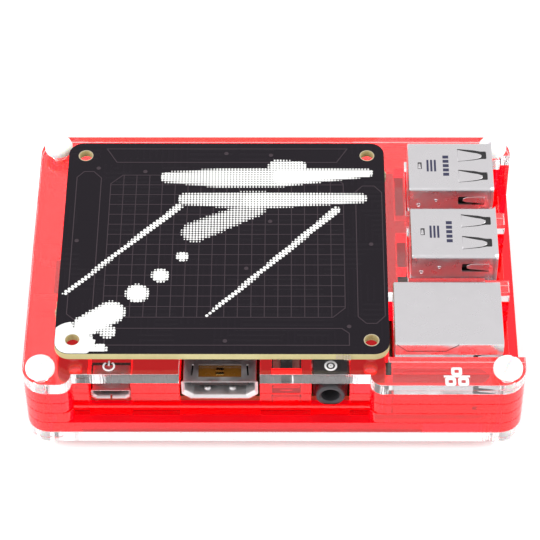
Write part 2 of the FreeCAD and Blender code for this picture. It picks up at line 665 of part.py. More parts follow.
def flared_socket(name, label, contact_count):
    """A small front-facing socket whose lower corners slope in, with a tongue and a row of contacts."""
    wide, tall, slope, wall = (f"{name}_{part}" for part in ("wide", "tall", "slope", "wall"))
    place = (f"{BOARD_X} + {name}_centre", f"{BOARD_Y} + {name}_front + {name}_deep",
             f"{BOARD_TOP} + {name}_low")

    def section(sketch, inset):
        half, low, high = f"({wide} / 2 - {inset})", inset, f"{tall} - {inset}"
        knee, foot = f"{slope} + {inset} / 2", f"({wide} / 2 - {slope} - {inset} / 2)"
        draw_polygon(sketch, [(f"-{foot}", low), (foot, low), (half, knee), (half, high),
                              (f"-{half}", high), (f"-{half}", knee)])

    shell = new_body(f"{label}_shell", *place)
    outline = new_sketch(shell, f"{label}_outline", "XZ_Plane")
    section(outline, "0")
    add_pad(shell, outline, f"{name}_deep")
    hollow = new_sketch(shell, f"{label}_hollow", "XZ_Plane", f"{wall}")
    section(hollow, wall)
    add_pocket(shell, hollow, f"{name}_deep", True)
    keep(shell)

    insulator = new_body(f"{label}_insulator", *place)
    plug = new_sketch(insulator, f"{label}_plug", "XZ_Plane", wall)
    section(plug, wall)
    add_pad(insulator, plug, f"{name}_deep - {name}_port_deep - {wall}")
    tongue = new_sketch(insulator, f"{label}_tongue", "XZ_Plane", wall)
    middle = f"{tall} / 2"
    draw_rectangle(tongue, f"-{name}_tongue_wide / 2", f"{middle} - {name}_tongue_thick / 2",
                   f"{name}_tongue_wide / 2", f"{middle} + {name}_tongue_thick / 2")
    add_pad(insulator, tongue, f"{name}_deep - {wall} - overcut")
    keep(insulator)

    contacts = []
    for number in range(contact_count):
        offset = f"({number} - {(contact_count - 1) / 2}) * {name}_contact_pitch"
        contacts.append(board_block(f"{label}_contact_{number + 1}",
                                    (f"{name}_centre + {offset} - {name}_contact_wide / 2",
                                     f"{name}_front + 2 * overcut",
                                     f"{name}_low + {middle} + {name}_tongue_thick / 2"),
                                    (f"{name}_contact_wide", f"{name}_contact_length",
                                     f"{name}_contact_thick")))
    keep(group(f"{label}_contacts", contacts))


def build_audio():
    """The round sound socket: a moulded body with a nose, and the spring clips inside its bore."""
    body = new_body("audio_body", f"{BOARD_X} + audio_centre", f"{BOARD_Y} + audio_deep",
                    f"{BOARD_TOP} + audio_axis")
    outline = new_sketch(body, "audio_outline", "XZ_Plane")
    draw_rectangle(outline, "-audio_wide / 2", "-audio_axis", "audio_wide / 2",
                   "audio_tall - audio_axis")
    add_pad(body, outline, "audio_deep")
    nose = new_sketch(body, "audio_nose_ring", "XZ_Plane")
    draw_circle(nose, "0", "0", "audio_barrel")
    add_pad(body, nose, "audio_deep + audio_nose")
    bore = new_sketch(body, "audio_bore_circle", "XZ_Plane", "audio_deep + audio_nose - audio_bore_length")
    draw_circle(bore, "0", "0", "audio_bore")
    add_pocket(body, bore, "audio_bore_length", True)
    keep(body)
    clips = []
    for number, side in enumerate(("-", "+", "-")):
        clips.append(board_block(f"audio_clip_{number + 1}",
                                 (f"audio_centre {side} (audio_wide + audio_clip_thick) / 2"
                                  " - audio_clip_thick / 2",
                                  f"audio_clip_first + {number} * audio_clip_step", "overcut"),
                                 ("audio_clip_thick", "audio_clip_wide", "audio_tall - 2 * overcut")))
    keep(group("audio_clips", clips))


def build_ribbon(name):
    """A ribbon-cable connector with its contacts, and the latch that pulls up by about a millimetre."""
    centre, middle = f"{name}_centre", f"{name}_middle"
    base = board_block(f"{name}_block", (f"{centre} - ribbon_deep / 2", f"{middle} - ribbon_long / 2",
                                         "0"),
                       ("ribbon_deep", "ribbon_long", "ribbon_tall"))
    slit = board_block(f"{name}_slit", (f"{centre} - ribbon_slit / 2", f"{middle} - ribbon_slit_long / 2",
                                        "ribbon_tall - ribbon_slit_deep"),
                       ("ribbon_slit", "ribbon_slit_long", "ribbon_slit_deep + overcut"))
    wells, tabs = [], []
    latch_front = f"{middle} - latch_long / 2"
    for end, y in (("front", latch_front),
                   ("back", f"{middle} + latch_long / 2 - latch_tab_thick")):
        wells.append(board_block(f"{name}_well_{end}",
                                 (f"{centre} - latch_deep / 2 - latch_clear", f"{y} - latch_clear",
                                  "ribbon_tall - latch_tab_drop - latch_clear"),
                                 ("latch_deep + 2 * latch_clear", "latch_tab_thick + 2 * latch_clear",
                                  "latch_tab_drop + overcut")))
        tabs.append(board_block(f"{name}_tab_{end}",
                                (f"{centre} - latch_deep / 2", y, "ribbon_tall - latch_tab_drop"),
                                ("latch_deep", "latch_tab_thick", "latch_tab_drop + latch_tall / 2")))
    keep(cut_away(f"{name}_connector", base, [slit] + wells))
    bar = board_block(f"{name}_bar", (f"{centre} - latch_deep / 2", latch_front,
                                      "ribbon_tall + latch_clear"),
                      ("latch_deep", "latch_long", "latch_tall - latch_clear"))
    gap = board_block(f"{name}_gap", (f"{centre} - ribbon_slit / 2", f"{middle} - ribbon_slit_long / 2",
                                      "ribbon_tall"),
                      ("ribbon_slit", "ribbon_slit_long", "latch_tall + overcut"))
    keep(cut_away(f"{name}_latch", joined(f"{name}_bar_and_tabs", [bar] + tabs), [gap]))
    contacts = []
    for number in range(15):
        offset = f"({number} - 7) * ribbon_pitch - ribbon_contact_wide / 2"
        contacts.append(board_block(f"{name}_contact_{number + 1}",
                                    (f"{centre} - ribbon_slit / 2", f"{middle} + {offset}",
                                     "ribbon_tall - ribbon_slit_deep"),
                                    ("ribbon_contact_thick", "ribbon_contact_wide",
                                     "ribbon_contact_tall")))
    keep(group(f"{name}_contacts", contacts))


def build_card_slot():
    """The memory card's slot, under the board's left end: a moulded bed above, a folded skin below."""
    middle = "board_width / 2"
    under = "-board_thick"
    low = f"{middle} - slot_wide / 2"
    keep(board_block("card_bed", ("slot_left", low, f"{under} - slot_base"),
                     ("slot_long", "slot_wide", "slot_base")))
    hull = board_block("card_skin_blank", ("slot_left", low, f"{under} - slot_tall"),
                       ("slot_long", "slot_wide", "slot_tall - slot_base"))
    space = board_block("card_skin_space", ("slot_left - overcut", f"{low} + slot_skin",
                                            f"{under} - slot_tall + slot_skin"),
                        ("slot_long + overcut - slot_skin", "slot_wide - 2 * slot_skin", "slot_tall"))
    keep(cut_away("card_slot_shell", hull, [space]))
    contacts = []
    for number in range(8):
        offset = f"({number} - 3.5) * card_contact_pitch - card_contact_wide / 2"
        contacts.append(board_block(f"card_contact_{number + 1}",
                                    ("slot_left + slot_long / 2", f"{middle} + {offset}",
                                     f"{under} - slot_base - card_contact_thick"),
                                    ("card_contact_long", "card_contact_wide", "card_contact_thick")))
    keep(group("card_slot_contacts", contacts))
    top = f"{under} - slot_base - card_gap"
    slab = board_block("card_slab", ("card_left", f"{middle} - card_wide / 2", f"{top} - card_thick"),
                       ("card_long", "card_wide", "card_thick"))
    lip = board_block("card_lip_bar", ("card_left", f"{middle} - card_wide / 2",
                                       f"{top} - card_thick - card_lip"),
                      ("card_lip_long", "card_wide", "card_lip + card_thick / 2"))
    keep(joined("memory_card", [slab, lip]))


def build_solder_legs():
    """The sockets' soldered legs, which stand out under the board and carry it on the first red plate."""
    places = []
    for centre in ("usb_front_centre", "usb_back_centre"):
        for x in ("usb_left + usb_length / 3", "usb_left + 2 * usb_length / 3"):
            places += [(x, f"{centre} {side} usb_wide / 2") for side in ("-", "+")]
    places += [("net_left + 2 * net_length / 3", f"net_centre {side} net_wide / 3") for side in ("-", "+")]
    for name in ("video", "power", "audio"):
        for x in (f"{name}_centre - {name}_wide / 2 + leg_radius",
                  f"{name}_centre + {name}_wide / 2 - leg_radius"):
            places += [(x, f"{name}_deep / 5"), (x, f"{name}_deep * 3 / 5")]
    legs = []
    for number, (x, y) in enumerate(places, start=1):
        leg = doc.addObject("Part::Cylinder", f"leg_{number}")
        leg.setExpression("Radius", bind("leg_radius"))
        leg.setExpression("Height", bind("board_lift"))
        for axis, text in zip("xyz", on_board(x, y, "-board_thick - board_lift")):
            leg.setExpression(f"Placement.Base.{axis}", bind(text))
        legs.append(leg)
    keep(group("solder_legs", legs))


# ---------------------------------------------------------------- chips and small parts
def chip(label, x, y, side, thick, bottom="0"):
    return keep(board_block(label, (f"{x} - {side} / 2", f"{y} - {side} / 2", bottom),
                            (side, side, thick)))


def part_row(name, size):
    """A row of equal small parts on the board, placed about their centres."""
    count, x, y, step_x, step_y = PART_ROWS[name]
    long, wide, thick = size
    return [board_block(f"{name}_{number + 1}",
                        (f"{x + number * step_x} - {long} / 2", f"{y + number * step_y} - {wide} / 2",
                         "0"), (long, wide, thick))
            for number in range(count)]


def build_chips():
    chip("processor", "processor_x", "processor_y", "processor_side", "processor_thick")
    chip("memory_chip", "processor_x", "processor_y", "memory_side", "memory_thick", "processor_thick")
    chip("usb_network_chip", "hub_x", "hub_y", "hub_side", "hub_thick")
    keep(group("crystals", part_row("crystal", ("crystal_long", "crystal_wide", "crystal_thick"))))
    keep(group("chokes", part_row("choke", ("choke_side", "choke_side", "choke_thick"))))
    keep(group("status_lamps", part_row("lamp", ("led_long", "led_wide", "led_thick"))))
    for kind, label, thick in (("capacitor", "small_capacitors", "chip_thick"),
                               ("resistor", "small_resistors", "resistor_thick")):
        parts = []
        for row in "abcd":
            parts += part_row(f"{kind}_{row}", ("chip_long", "chip_wide", thick))
        keep(group(label, parts))


# ---------------------------------------------------------------- build, test and write
def check_model():
    """Every object has to have computed, and every sub-part has to be a valid shape."""
    doc.recompute()
    for item in doc.Objects:
        if {"Invalid", "Error"} & set(item.State):
            raise RuntimeError(f"{item.Name} failed: {item.State}")
    for node in NODES:
        if node.Shape.isNull() or not node.Shape.isValid():
            raise RuntimeError(f"{node.Label} has no valid shape")


build_case()
build_fasteners()
drill_for_pins(circuit_board("main_board", BOARD_Z, "board_length", "board_width", "board_thick"))
build_header()
build_chips()
build_usb("usb_front", "usb_front_centre")
build_usb("usb_back", "usb_back_centre")
build_network()
flared_socket("video", "video", 10)
flared_socket("power", "power", 5)
build_audio()
build_ribbon("camera")
build_ribbon("display")
build_card_slot()
build_solder_legs()
build_addon()
check_model()

os.makedirs("parts", exist_ok=True)
for node in NODES:
    node.Shape.exportStep(f"parts/{node.Label}.step")
print(len(NODES), "sub-parts written")
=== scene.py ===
"""Looks of a single board computer in a stack of acrylic plates, with a sensing board plugged on top."""
import math

import bmesh
import bpy
from mathutils import Matrix, Vector


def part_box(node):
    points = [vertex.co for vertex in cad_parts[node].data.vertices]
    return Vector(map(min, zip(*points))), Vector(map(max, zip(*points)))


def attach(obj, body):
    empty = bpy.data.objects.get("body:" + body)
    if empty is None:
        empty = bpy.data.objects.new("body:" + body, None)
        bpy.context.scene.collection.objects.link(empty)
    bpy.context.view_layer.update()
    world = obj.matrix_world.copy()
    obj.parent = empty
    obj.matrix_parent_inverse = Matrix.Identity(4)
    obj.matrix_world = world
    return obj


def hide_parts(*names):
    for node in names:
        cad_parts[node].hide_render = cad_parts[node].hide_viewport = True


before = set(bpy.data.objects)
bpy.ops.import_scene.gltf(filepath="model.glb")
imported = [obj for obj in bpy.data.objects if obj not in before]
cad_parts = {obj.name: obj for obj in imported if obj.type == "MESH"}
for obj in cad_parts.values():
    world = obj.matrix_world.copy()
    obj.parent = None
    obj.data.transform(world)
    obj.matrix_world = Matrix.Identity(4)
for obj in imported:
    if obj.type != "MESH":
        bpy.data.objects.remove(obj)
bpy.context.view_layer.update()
MM = 0.001
CASE = "case_and_board"
ADDON = "addon"


def corners(node):
    """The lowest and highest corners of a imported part, in millimetres."""
    low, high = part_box(node)
    return Vector(low) / MM, Vector(high) / MM


def on(node, x, y, z=0.0):
    """A place given from a board's left front corner and upper face, in millimetres."""
    low, high = corners(node)
    return Vector((low.x + x, low.y + y, high.z + z))


# ------------------------------------------------------------------ mesh helpers, in millimetres
def carry(axis, a, b, along):
    """A point of a flat outline, with the outline's own plane square to the axis."""
    return {"x": (along, a, b), "y": (a, along, b), "z": (a, b, along)}[axis]


def loft(bm, rings, capped=True):
    """A skin through rings of points, closed by a cap at each end."""
    loops = [[bm.verts.new(point) for point in ring] for ring in rings]
    count = len(loops[0])
    for first, second in zip(loops, loops[1:]):
        for i in range(count):
            bm.faces.new((first[i], first[(i + 1) % count], second[(i + 1) % count], second[i]))
    if capped:
        bm.faces.new(list(reversed(loops[0])))
        bm.faces.new(loops[-1])
    return loops


def prism(bm, outline, start, end, axis="z"):
    """A straight solid: a flat outline carried along an axis."""
    return loft(bm, [[carry(axis, a, b, along) for a, b in outline] for along in (start, end)])


def box(bm, low, high):
    """An upright box between two corners."""
    prism(bm, [(low[0], low[1]), (high[0], low[1]), (high[0], high[1]), (low[0], high[1])], low[2], high[2])


def rounded(left, low, right, high, radii, steps=5):
    """A rectangle's outline with each corner rounded, from the lower left corner round to the left."""
    centres = [(left, low, 1, 1), (right, low, -1, 1), (right, high, -1, -1), (left, high, 1, -1)]
    outline = []
    for turn, ((x, y, inward_x, inward_y), radius) in enumerate(zip(centres, radii)):
        for i in range(steps + 1 if radius else 1):
            angle = math.pi + math.pi / 2 * (turn + i / steps)
            outline.append((x + inward_x * radius + radius * math.cos(angle),
                            y + inward_y * radius + radius * math.sin(angle)))
    return outline


def circle(x, y, radius, steps=24):
    """A round outline."""
    return [(x + radius * math.cos(2 * math.pi * i / steps), y + radius * math.sin(2 * math.pi * i / steps))
            for i in range(steps)]


def lathe(bm, profile, centre, axis="z", steps=40, hollow=False):
    """A turned solid of radius and height pairs round an axis through the centre, or a ring of a closed profile."""
    rings = []
    for radius, height in profile:
        ring = [carry(axis, a, b, height) for a, b in circle(0, 0, max(radius, 0.001), steps)]
        rings.append([Vector(centre) + Vector(point) for point in ring])
    return loft(bm, rings + rings[:1] if hollow else rings, capped=not hollow)


def linked(name, data):
    """A new object of the scene."""
    thing = bpy.data.objects.new(name, data)
    bpy.context.scene.collection.objects.link(thing)
    return thing


def held(bm, name):
    """A new object of the mesh, which is used up."""
    mesh = bpy.data.meshes.new(name)
    bm.to_mesh(mesh)
    bm.free()
    return linked(name, mesh)


def solid(bm, name="working"):
    """A working object of the mesh, its faces turned outwards."""
    bmesh.ops.remove_doubles(bm, verts=bm.verts, dist=1e-5)
    bmesh.ops.recalc_face_normals(bm, faces=bm.faces)
    return held(bm, name)


def shaped(shape, *sizes, **choices):
    """A working object of one shape alone."""
    bm = bmesh.new()
    shape(bm, *sizes, **choices)
    return solid(bm)


def settled(thing):
    """The object with its modifiers worked into its mesh."""
    evaluated = thing.evaluated_get(bpy.context.evaluated_depsgraph_get())
    mesh = bpy.data.meshes.new_from_object(evaluated)
    thing.modifiers.clear()
    thing.data = mesh
    return thing


def cut(thing, tool, operation="DIFFERENCE"):
    """The object less the tool, which is used up."""
    work = thing.modifiers.new("cut", "BOOLEAN")
    work.operation, work.solver, work.object = operation, "EXACT", tool
    work.use_self = True
    settled(thing)
    bpy.data.objects.remove(tool)
    return thing


def softened(thing, width, segments=2, angle=35):
    """The object with its sharp edges rounded."""
    work = thing.modifiers.new("edges", "BEVEL")
    work.width, work.segments, work.limit_method = width, segments, "ANGLE"
    work.angle_limit = math.radians(angle)
    return settled(thing)


def finished(thing, name, finish, body, stands_for=(), smooth=35):
    """Names the piece, brings it to metres, and gives it its finish, its body and its finish's slot."""
    thing.name = thing.data.name = name
    thing.data.transform(Matrix.Scale(MM, 4))
    thing.data.materials.clear()
    thing.data.materials.append(finish)
    thing.data.shade_smooth()
    thing.data.set_sharp_from_angle(angle=math.radians(smooth))
    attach(thing, body)
    if stands_for:
        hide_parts(*stands_for)
    return thing


def copied(*nodes):
    """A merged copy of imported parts, in millimetres, with flat faces made whole."""
    bm = bmesh.new()
    for node in nodes:
        bm.from_mesh(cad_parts[node].data)
    bmesh.ops.scale(bm, vec=(1 / MM,) * 3, verts=bm.verts)
    bmesh.ops.remove_doubles(bm, verts=bm.verts, dist=1e-4)
    bmesh.ops.dissolve_limit(bm, angle_limit=math.radians(1), verts=bm.verts, edges=bm.edges)
    return solid(bm)


# ------------------------------------------------------------------ node helpers
class Wiring:
    """A node tree with short ways to add and join nodes."""

    def __init__(self, tree):
        self.tree = tree

    def node(self, kind, **settings):
        """A new node with its settings."""
        made = self.tree.nodes.new(kind)
        for name, value in settings.items():
            setattr(made, name, value)
        return made

    def feed(self, socket, value):
        """Joins another socket to this one, or sets it to a plain value."""
        if isinstance(value, bpy.types.NodeSocket):
            self.tree.links.new(value, socket)
        else:
            socket.default_value = value

    def math(self, operation, *values, clamp=False):
        """The result of one sum."""
        made = self.node("ShaderNodeMath", operation=operation, use_clamp=clamp)
        for socket, value in zip(made.inputs, values):
            self.feed(socket, value)
        return made.outputs[0]

    def blend(self, factor, first, second):
        """A colour between two others."""
        made = self.node("ShaderNodeMix", data_type="RGBA")
        self.feed(made.inputs[0], factor)
        self.feed(made.inputs[6], first)
        self.feed(made.inputs[7], second)
        return made.outputs[2]

    def millimetres(self, stretch=(1, 1, 1)):
        """Object coordinates in millimetres, stretched along each axis."""
        place = self.node("ShaderNodeTexCoord").outputs["Object"]
        scale = self.node("ShaderNodeMapping")
        self.feed(scale.inputs["Vector"], place)
        scale.inputs["Scale"].default_value = tuple(s / MM for s in stretch)
        return scale.outputs[0]

    def noise(self, scale, stretch=(1, 1, 1), detail=2.0, distortion=0.0):
        """Cloudy noise over the object, so many waves to the millimetre."""
        clouds = self.node("ShaderNodeTexNoise")
        for label, value in (("Vector", self.millimetres(stretch)), ("Scale", scale), ("Detail", detail),
                             ("Distortion", distortion)):
            self.feed(clouds.inputs[label], value)
        return clouds.outputs[0]

    def spread(self, value, low, high, start=0.0, end=1.0):
        """A value between a low and a high one, stretched to run from a start to an end."""
        stretched = self.node("ShaderNodeMapRange")
        for socket, given in zip(stretched.inputs, (value, low, high, start, end)):
            self.feed(socket, given)
        return stretched.outputs[0]

    def group(self, tree, **values):
        """The outputs of a shader group that is given these values."""
        made = self.node("ShaderNodeGroup", node_tree=tree)
        for name, value in values.items():
            self.feed(made.inputs[name.replace("_", " ")], value)
        return made.outputs


def shader_group(name, inputs, outputs):
    """An empty shader group with named inputs and outputs."""
    tree = bpy.data.node_groups.new(name, "ShaderNodeTree")
    for label, value in inputs:
        kind = "NodeSocketColor" if isinstance(value, tuple) else "NodeSocketFloat"
        tree.interface.new_socket(label, in_out="INPUT", socket_type=kind).default_value = value
    for label, kind in outputs:
        tree.interface.new_socket(label, in_out="OUTPUT", socket_type=kind)
    wiring = Wiring(tree)
    return wiring, wiring.node("NodeGroupInput").outputs, wiring.node("NodeGroupOutput").inputs


def grain_group():
    """Uneven gloss, tone and height, as moulded, rolled and printed surfaces have."""
    wiring, given, result = shader_group(
        "surface_grain",
        [("Size", 1.0), ("Smooth", 0.3), ("Rough", 0.4), ("Tone", (1, 1, 1, 1)), ("Second Tone", (1, 1, 1, 1))],
        [("Color", "NodeSocketColor"), ("Roughness", "NodeSocketFloat"), ("Height", "NodeSocketFloat")])
    coarse = wiring.noise(wiring.math("DIVIDE", 1.0, given["Size"]), detail=4.0)
    fine = wiring.noise(wiring.math("DIVIDE", 7.0, given["Size"]))
    wiring.feed(result["Roughness"], wiring.spread(coarse, 0.35, 0.65, given["Smooth"], given["Rough"]))
    wiring.feed(result["Color"], wiring.blend(coarse, given["Tone"], given["Second Tone"]))
    wiring.feed(result["Height"], wiring.math("ADD", coarse, fine))
    return wiring.tree


def flat_group():
    """A mask of the faces that look straight up or down."""
    wiring, _, result = shader_group("flat_faces", [], [("Flat", "NodeSocketFloat")])
    split = wiring.node("ShaderNodeSeparateXYZ")
    wiring.feed(split.inputs[0], wiring.node("ShaderNodeNewGeometry").outputs["Normal"])
    steep = wiring.math("ABSOLUTE", split.outputs["Z"])
    wiring.feed(result["Flat"], wiring.math("GREATER_THAN", steep, 0.8))
    return wiring.tree


def sawn_group():
    """Fine upright lines on cut walls, none on flat faces."""
    wiring, given, result = shader_group("cut_wall_lines", [("Pitch", 0.3)], [("Height", "NodeSocketFloat")])
    lines = wiring.noise(wiring.math("DIVIDE", 1.0, given["Pitch"]), (1, 1, 0.05))
    wall = wiring.math("SUBTRACT", 1.0, wiring.group(FLAT)["Flat"])
    wiring.feed(result["Height"], wiring.math("MULTIPLY", lines, wall))
    return wiring.tree


def smudge_group():
    """Broad soft patches where fingers have been."""
    wiring, given, result = shader_group("smudges", [("Size", 8.0), ("Amount", 0.5)],
                                         [("Mask", "NodeSocketFloat")])
    patches = wiring.noise(wiring.math("DIVIDE", 1.0, given["Size"]), detail=6.0, distortion=1.5)
    mask = wiring.math("MULTIPLY", wiring.spread(patches, 0.45, 0.7), given["Amount"])
    wiring.feed(result["Mask"], mask)
    return wiring.tree


def track_group():
    """Copper tracks under a board's lacquer: runs one way in some patches and the other way in the rest."""
    wiring, given, result = shader_group("copper_tracks", [("Pitch", 0.8)], [("Mask", "NodeSocketFloat")])
    patches = wiring.node("ShaderNodeTexVoronoi", distance="CHEBYCHEV")
    wiring.feed(patches.inputs["Vector"], wiring.millimetres((1, 1, 0)))
    patches.inputs["Scale"].default_value = 0.16
    tone = wiring.node("ShaderNodeSeparateColor")
    wiring.feed(tone.inputs[0], patches.outputs["Color"])
    split = wiring.node("ShaderNodeSeparateXYZ")
    wiring.feed(split.inputs[0], wiring.millimetres())
    runs = []
    for axis in ("X", "Y"):
        turn = wiring.math("FRACT", wiring.math("DIVIDE", split.outputs[axis], given["Pitch"]))
        runs.append(wiring.math("LESS_THAN", turn, 0.3))
    across = wiring.math("GREATER_THAN", tone.outputs[0], 0.5)
    chosen = wiring.math("ADD", wiring.math("MULTIPLY", runs[0], across),
                         wiring.math("MULTIPLY", runs[1], wiring.math("SUBTRACT", 1.0, across)))
    present = wiring.math("GREATER_THAN", tone.outputs[1], 0.35)
    wiring.feed(result["Mask"], wiring.math("MULTIPLY", chosen, present))
    return wiring.tree


GRAIN = grain_group()
FLAT = flat_group()
SAWN = sawn_group()
SMUDGE = smudge_group()
TRACKS = track_group()


# ------------------------------------------------------------------ finishes
def blank_finish(name, constants):
    """A material whose shader has its plain values set."""
    material = bpy.data.materials.new(name)
    material.use_nodes = True
    shader = material.node_tree.nodes["Principled BSDF"]
    for label, value in constants.items():
        shader.inputs[label].default_value = value
    return material, Wiring(material.node_tree), shader


def dented(wiring, shader, height, depth):
    """Joins a height to the shader's normal, with the depth in millimetres."""
    bump = wiring.node("ShaderNodeBump")
    bump.inputs["Distance"].default_value = depth * MM
    wiring.feed(bump.inputs["Height"], height)
    wiring.feed(shader.inputs["Normal"], bump.outputs[0])


def plain_finish(name, tones, gloss, size, depth, smudged=0.0, **constants):
    """A finish of two close tones, with uneven gloss and a fine grain."""
    labels = {key.replace("_", " "): value for key, value in constants.items()}
    material, wiring, shader = blank_finish(name, labels)
    grain = wiring.group(GRAIN, Size=size, Smooth=gloss[0], Rough=gloss[1],
                         Tone=(*tones[0], 1), Second_Tone=(*tones[1], 1))
    wiring.feed(shader.inputs["Base Color"], grain["Color"])
    roughness = grain["Roughness"]
    if smudged:
        mask = wiring.group(SMUDGE, Size=6.0, Amount=smudged)["Mask"]
        roughness = wiring.math("ADD", roughness, mask, clamp=True)
    wiring.feed(shader.inputs["Roughness"], roughness)
    dented(wiring, shader, grain["Height"], depth)
    return material


def acrylic(name, tones, gloss, painted_glow, strength):
    """Cast acrylic sheet: polished faces with faint smudges, fine lines on its cut walls, and a painted glow, an
    emission that stands in for light carried through the sheet.
    """
    material, wiring, shader = blank_finish(name, {"Transmission Weight": 1.0, "IOR": 1.49,
                                                   "Emission Color": (*painted_glow, 1), "Emission Strength": strength})
    grain = wiring.group(GRAIN, Size=20.0, Smooth=gloss[0], Rough=gloss[1],
                         Tone=(*tones[0], 1), Second_Tone=(*tones[1], 1))
    wiring.feed(shader.inputs["Base Color"], grain["Color"])
    mask = wiring.group(SMUDGE, Size=9.0, Amount=0.03)["Mask"]
    wiring.feed(shader.inputs["Roughness"], wiring.math("ADD", grain["Roughness"], mask, clamp=True))
    dented(wiring, shader, wiring.group(SAWN, Pitch=0.35)["Height"], 0.02)
    return material


def lacquered_board(name, lacquer, track, edge, pitch, gloss, specular):
    """A board: lacquer over copper on its faces, bare glass fibre on its sawn edges."""
    material, wiring, shader = blank_finish(name, {"IOR": 1.45, "Specular IOR Level": specular})
    flat = wiring.group(FLAT)["Flat"]
    tracks = wiring.group(TRACKS, Pitch=pitch)["Mask"]
    grain = wiring.group(GRAIN, Size=3.0, Smooth=gloss[0], Rough=gloss[1],
                         Tone=(*edge, 1), Second_Tone=tuple(0.8 * c for c in edge) + (1,))
    face = wiring.blend(tracks, (*lacquer, 1), (*track, 1))
    wiring.feed(shader.inputs["Base Color"], wiring.blend(flat, grain["Color"], face))
    wiring.feed(shader.inputs["Roughness"], grain["Roughness"])
    height = wiring.math("ADD", wiring.math("MULTIPLY", tracks, flat), wiring.math("MULTIPLY", grain["Height"], 0.2))
    dented(wiring, shader, height, 0.02)
    return material


# Both acrylics emit light of their own colour: a painted glow, strong in the red sheet and faint in the clear one.
CLEAR = acrylic("clear_acrylic", ((0.985, 0.99, 0.99), (0.99, 0.985, 0.99)), (0.0, 0.01), (1, 0.95, 0.97), 0.01)
RED = acrylic("red_acrylic", ((1.0, 0.004, 0.016), (1.0, 0.006, 0.022)), (0.0, 0.01), (1.0, 0.0, 0.006), 0.12)
# The nylon's subsurface is its own; its white emission is a painted glow that lightens the bolts and nuts.
NYLON = plain_finish("white_nylon", ((0.96, 0.96, 0.95), (0.92, 0.92, 0.91)), (0.4, 0.55), 1.5, 0.01,
                     Subsurface_Weight=0.3, Subsurface_Scale=0.002, Emission_Color=(1, 1, 1, 1),
                     Emission_Strength=0.06)
GREEN = lacquered_board("green_board", (0.01, 0.12, 0.035), (0.02, 0.22, 0.06), (0.5, 0.45, 0.25), 0.9,
                        (0.25, 0.35), 0.5)
BLACK = lacquered_board("black_board", (0.0075, 0.0045, 0.0085), (0.009, 0.0055, 0.01), (0.62, 0.56, 0.28), 1.3,
                        (0.32, 0.42), 0.22)
LINES = plain_finish("lacquered_copper", ((0.055, 0.036, 0.045), (0.04, 0.03, 0.038)), (0.3, 0.4), 2.0, 0.003,
                     Specular_IOR_Level=0.25)
INK = plain_finish("white_print", ((0.9, 0.9, 0.88), (0.8, 0.8, 0.79)), (0.5, 0.65), 0.6, 0.01)
BLUE_INK = plain_finish("blue_black_print", ((0.02, 0.022, 0.06), (0.03, 0.03, 0.08)), (0.4, 0.55), 0.5, 0.005)
MOULDED = plain_finish("black_plastic", ((0.012, 0.012, 0.013), (0.02, 0.02, 0.021)), (0.35, 0.5), 0.8, 0.015)
DARK_GREY = plain_finish("dark_grey_plastic", ((0.045, 0.042, 0.048), (0.03, 0.028, 0.033)), (0.35, 0.5), 0.8,
                         0.012)
CREAM = plain_finish("cream_plastic", ((0.72, 0.66, 0.5), (0.64, 0.58, 0.43)), (0.35, 0.5), 0.9, 0.01)
STEEL = plain_finish("plated_steel", ((0.76, 0.74, 0.76), (0.7, 0.68, 0.7)), (0.24, 0.34), 2.5, 0.004, 0.12,
                     Metallic=1.0)
TINNED = plain_finish("dull_tin", ((0.85, 0.83, 0.84), (0.76, 0.74, 0.75)), (0.42, 0.55), 2.5, 0.004, 0.1,
                      Metallic=1.0)
BRIGHT = plain_finish("bright_steel", ((0.85, 0.83, 0.82), (0.78, 0.76, 0.75)), (0.08, 0.16), 2.0, 0.003, 0.06,
                      Metallic=1.0)
GOLD = plain_finish("gold_contact", ((0.95, 0.68, 0.25), (0.85, 0.58, 0.2)), (0.15, 0.3), 0.7, 0.004,
                    Metallic=1.0)
AMBER = plain_finish("amber_plastic", ((0.32, 0.13, 0.015), (0.16, 0.06, 0.01)), (0.15, 0.3), 1.6, 0.01)
LENS = plain_finish("lamp_lens", ((0.75, 0.7, 0.25), (0.6, 0.6, 0.2)), (0.1, 0.2), 0.5, 0.005,
                    Transmission_Weight=0.5)
CERAMIC = plain_finish("ceramic", ((0.36, 0.25, 0.15), (0.28, 0.2, 0.12)), (0.3, 0.45), 0.5, 0.01)
FROST = plain_finish("engraved_frost", ((0.95, 0.93, 0.94), (0.85, 0.83, 0.84)), (0.6, 0.8), 0.3, 0.03)
FIBRE = plain_finish("bare_glass_fibre", ((0.6, 0.52, 0.36), (0.42, 0.36, 0.24)), (0.6, 0.8), 0.3, 0.05)
FLOOR = plain_finish("studio_floor", ((0.93, 0.93, 0.93), (0.91, 0.91, 0.91)), (0.6, 0.7), 40.0, 0.01,
                     Emission_Color=(1, 1, 1, 1), Emission_Strength=0.25)

FINISH_OF_NODE = {
    GREEN: ("main_board",), BLACK: ("addon_board",),
    GOLD: ("gpio_pins", "addon_header_contacts", "usb_front_contacts", "usb_back_contacts",
           "network_contacts", "video_contacts", "power_contacts", "camera_contacts", "display_contacts",
           "card_slot_contacts"),
    MOULDED: ("gpio_base", "addon_header", "processor", "memory_chip", "usb_network_chip", "chokes",
              "network_insulator", "video_insulator", "power_insulator", "audio_body", "camera_latch",
              "display_latch", "memory_card", "card_bed", "usb_front_insulator", "usb_back_insulator"),
    CREAM: ("camera_connector", "display_connector"),
    STEEL: ("usb_front_shell", "usb_back_shell", "network_shell", "video_shell", "power_shell",
            "card_slot_shell", "crystals", "solder_legs", "audio_clips", "sensing_chip"),
    LENS: ("network_lamps", "status_lamps"),
    CERAMIC: ("small_capacitors", "small_resistors", "addon_small_parts"),
    NYLON: ("corner_bolts", "corner_nuts"),
    CLEAR: ("top_plate", "base_plate"),
    RED: ("case_layer_1", "case_layer_2", "case_layer_3", "case_layer_4"),
}
for finish, nodes in FINISH_OF_NODE.items():
    for node in nodes:
        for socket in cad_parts[node].material_slots:
            socket.material = finish


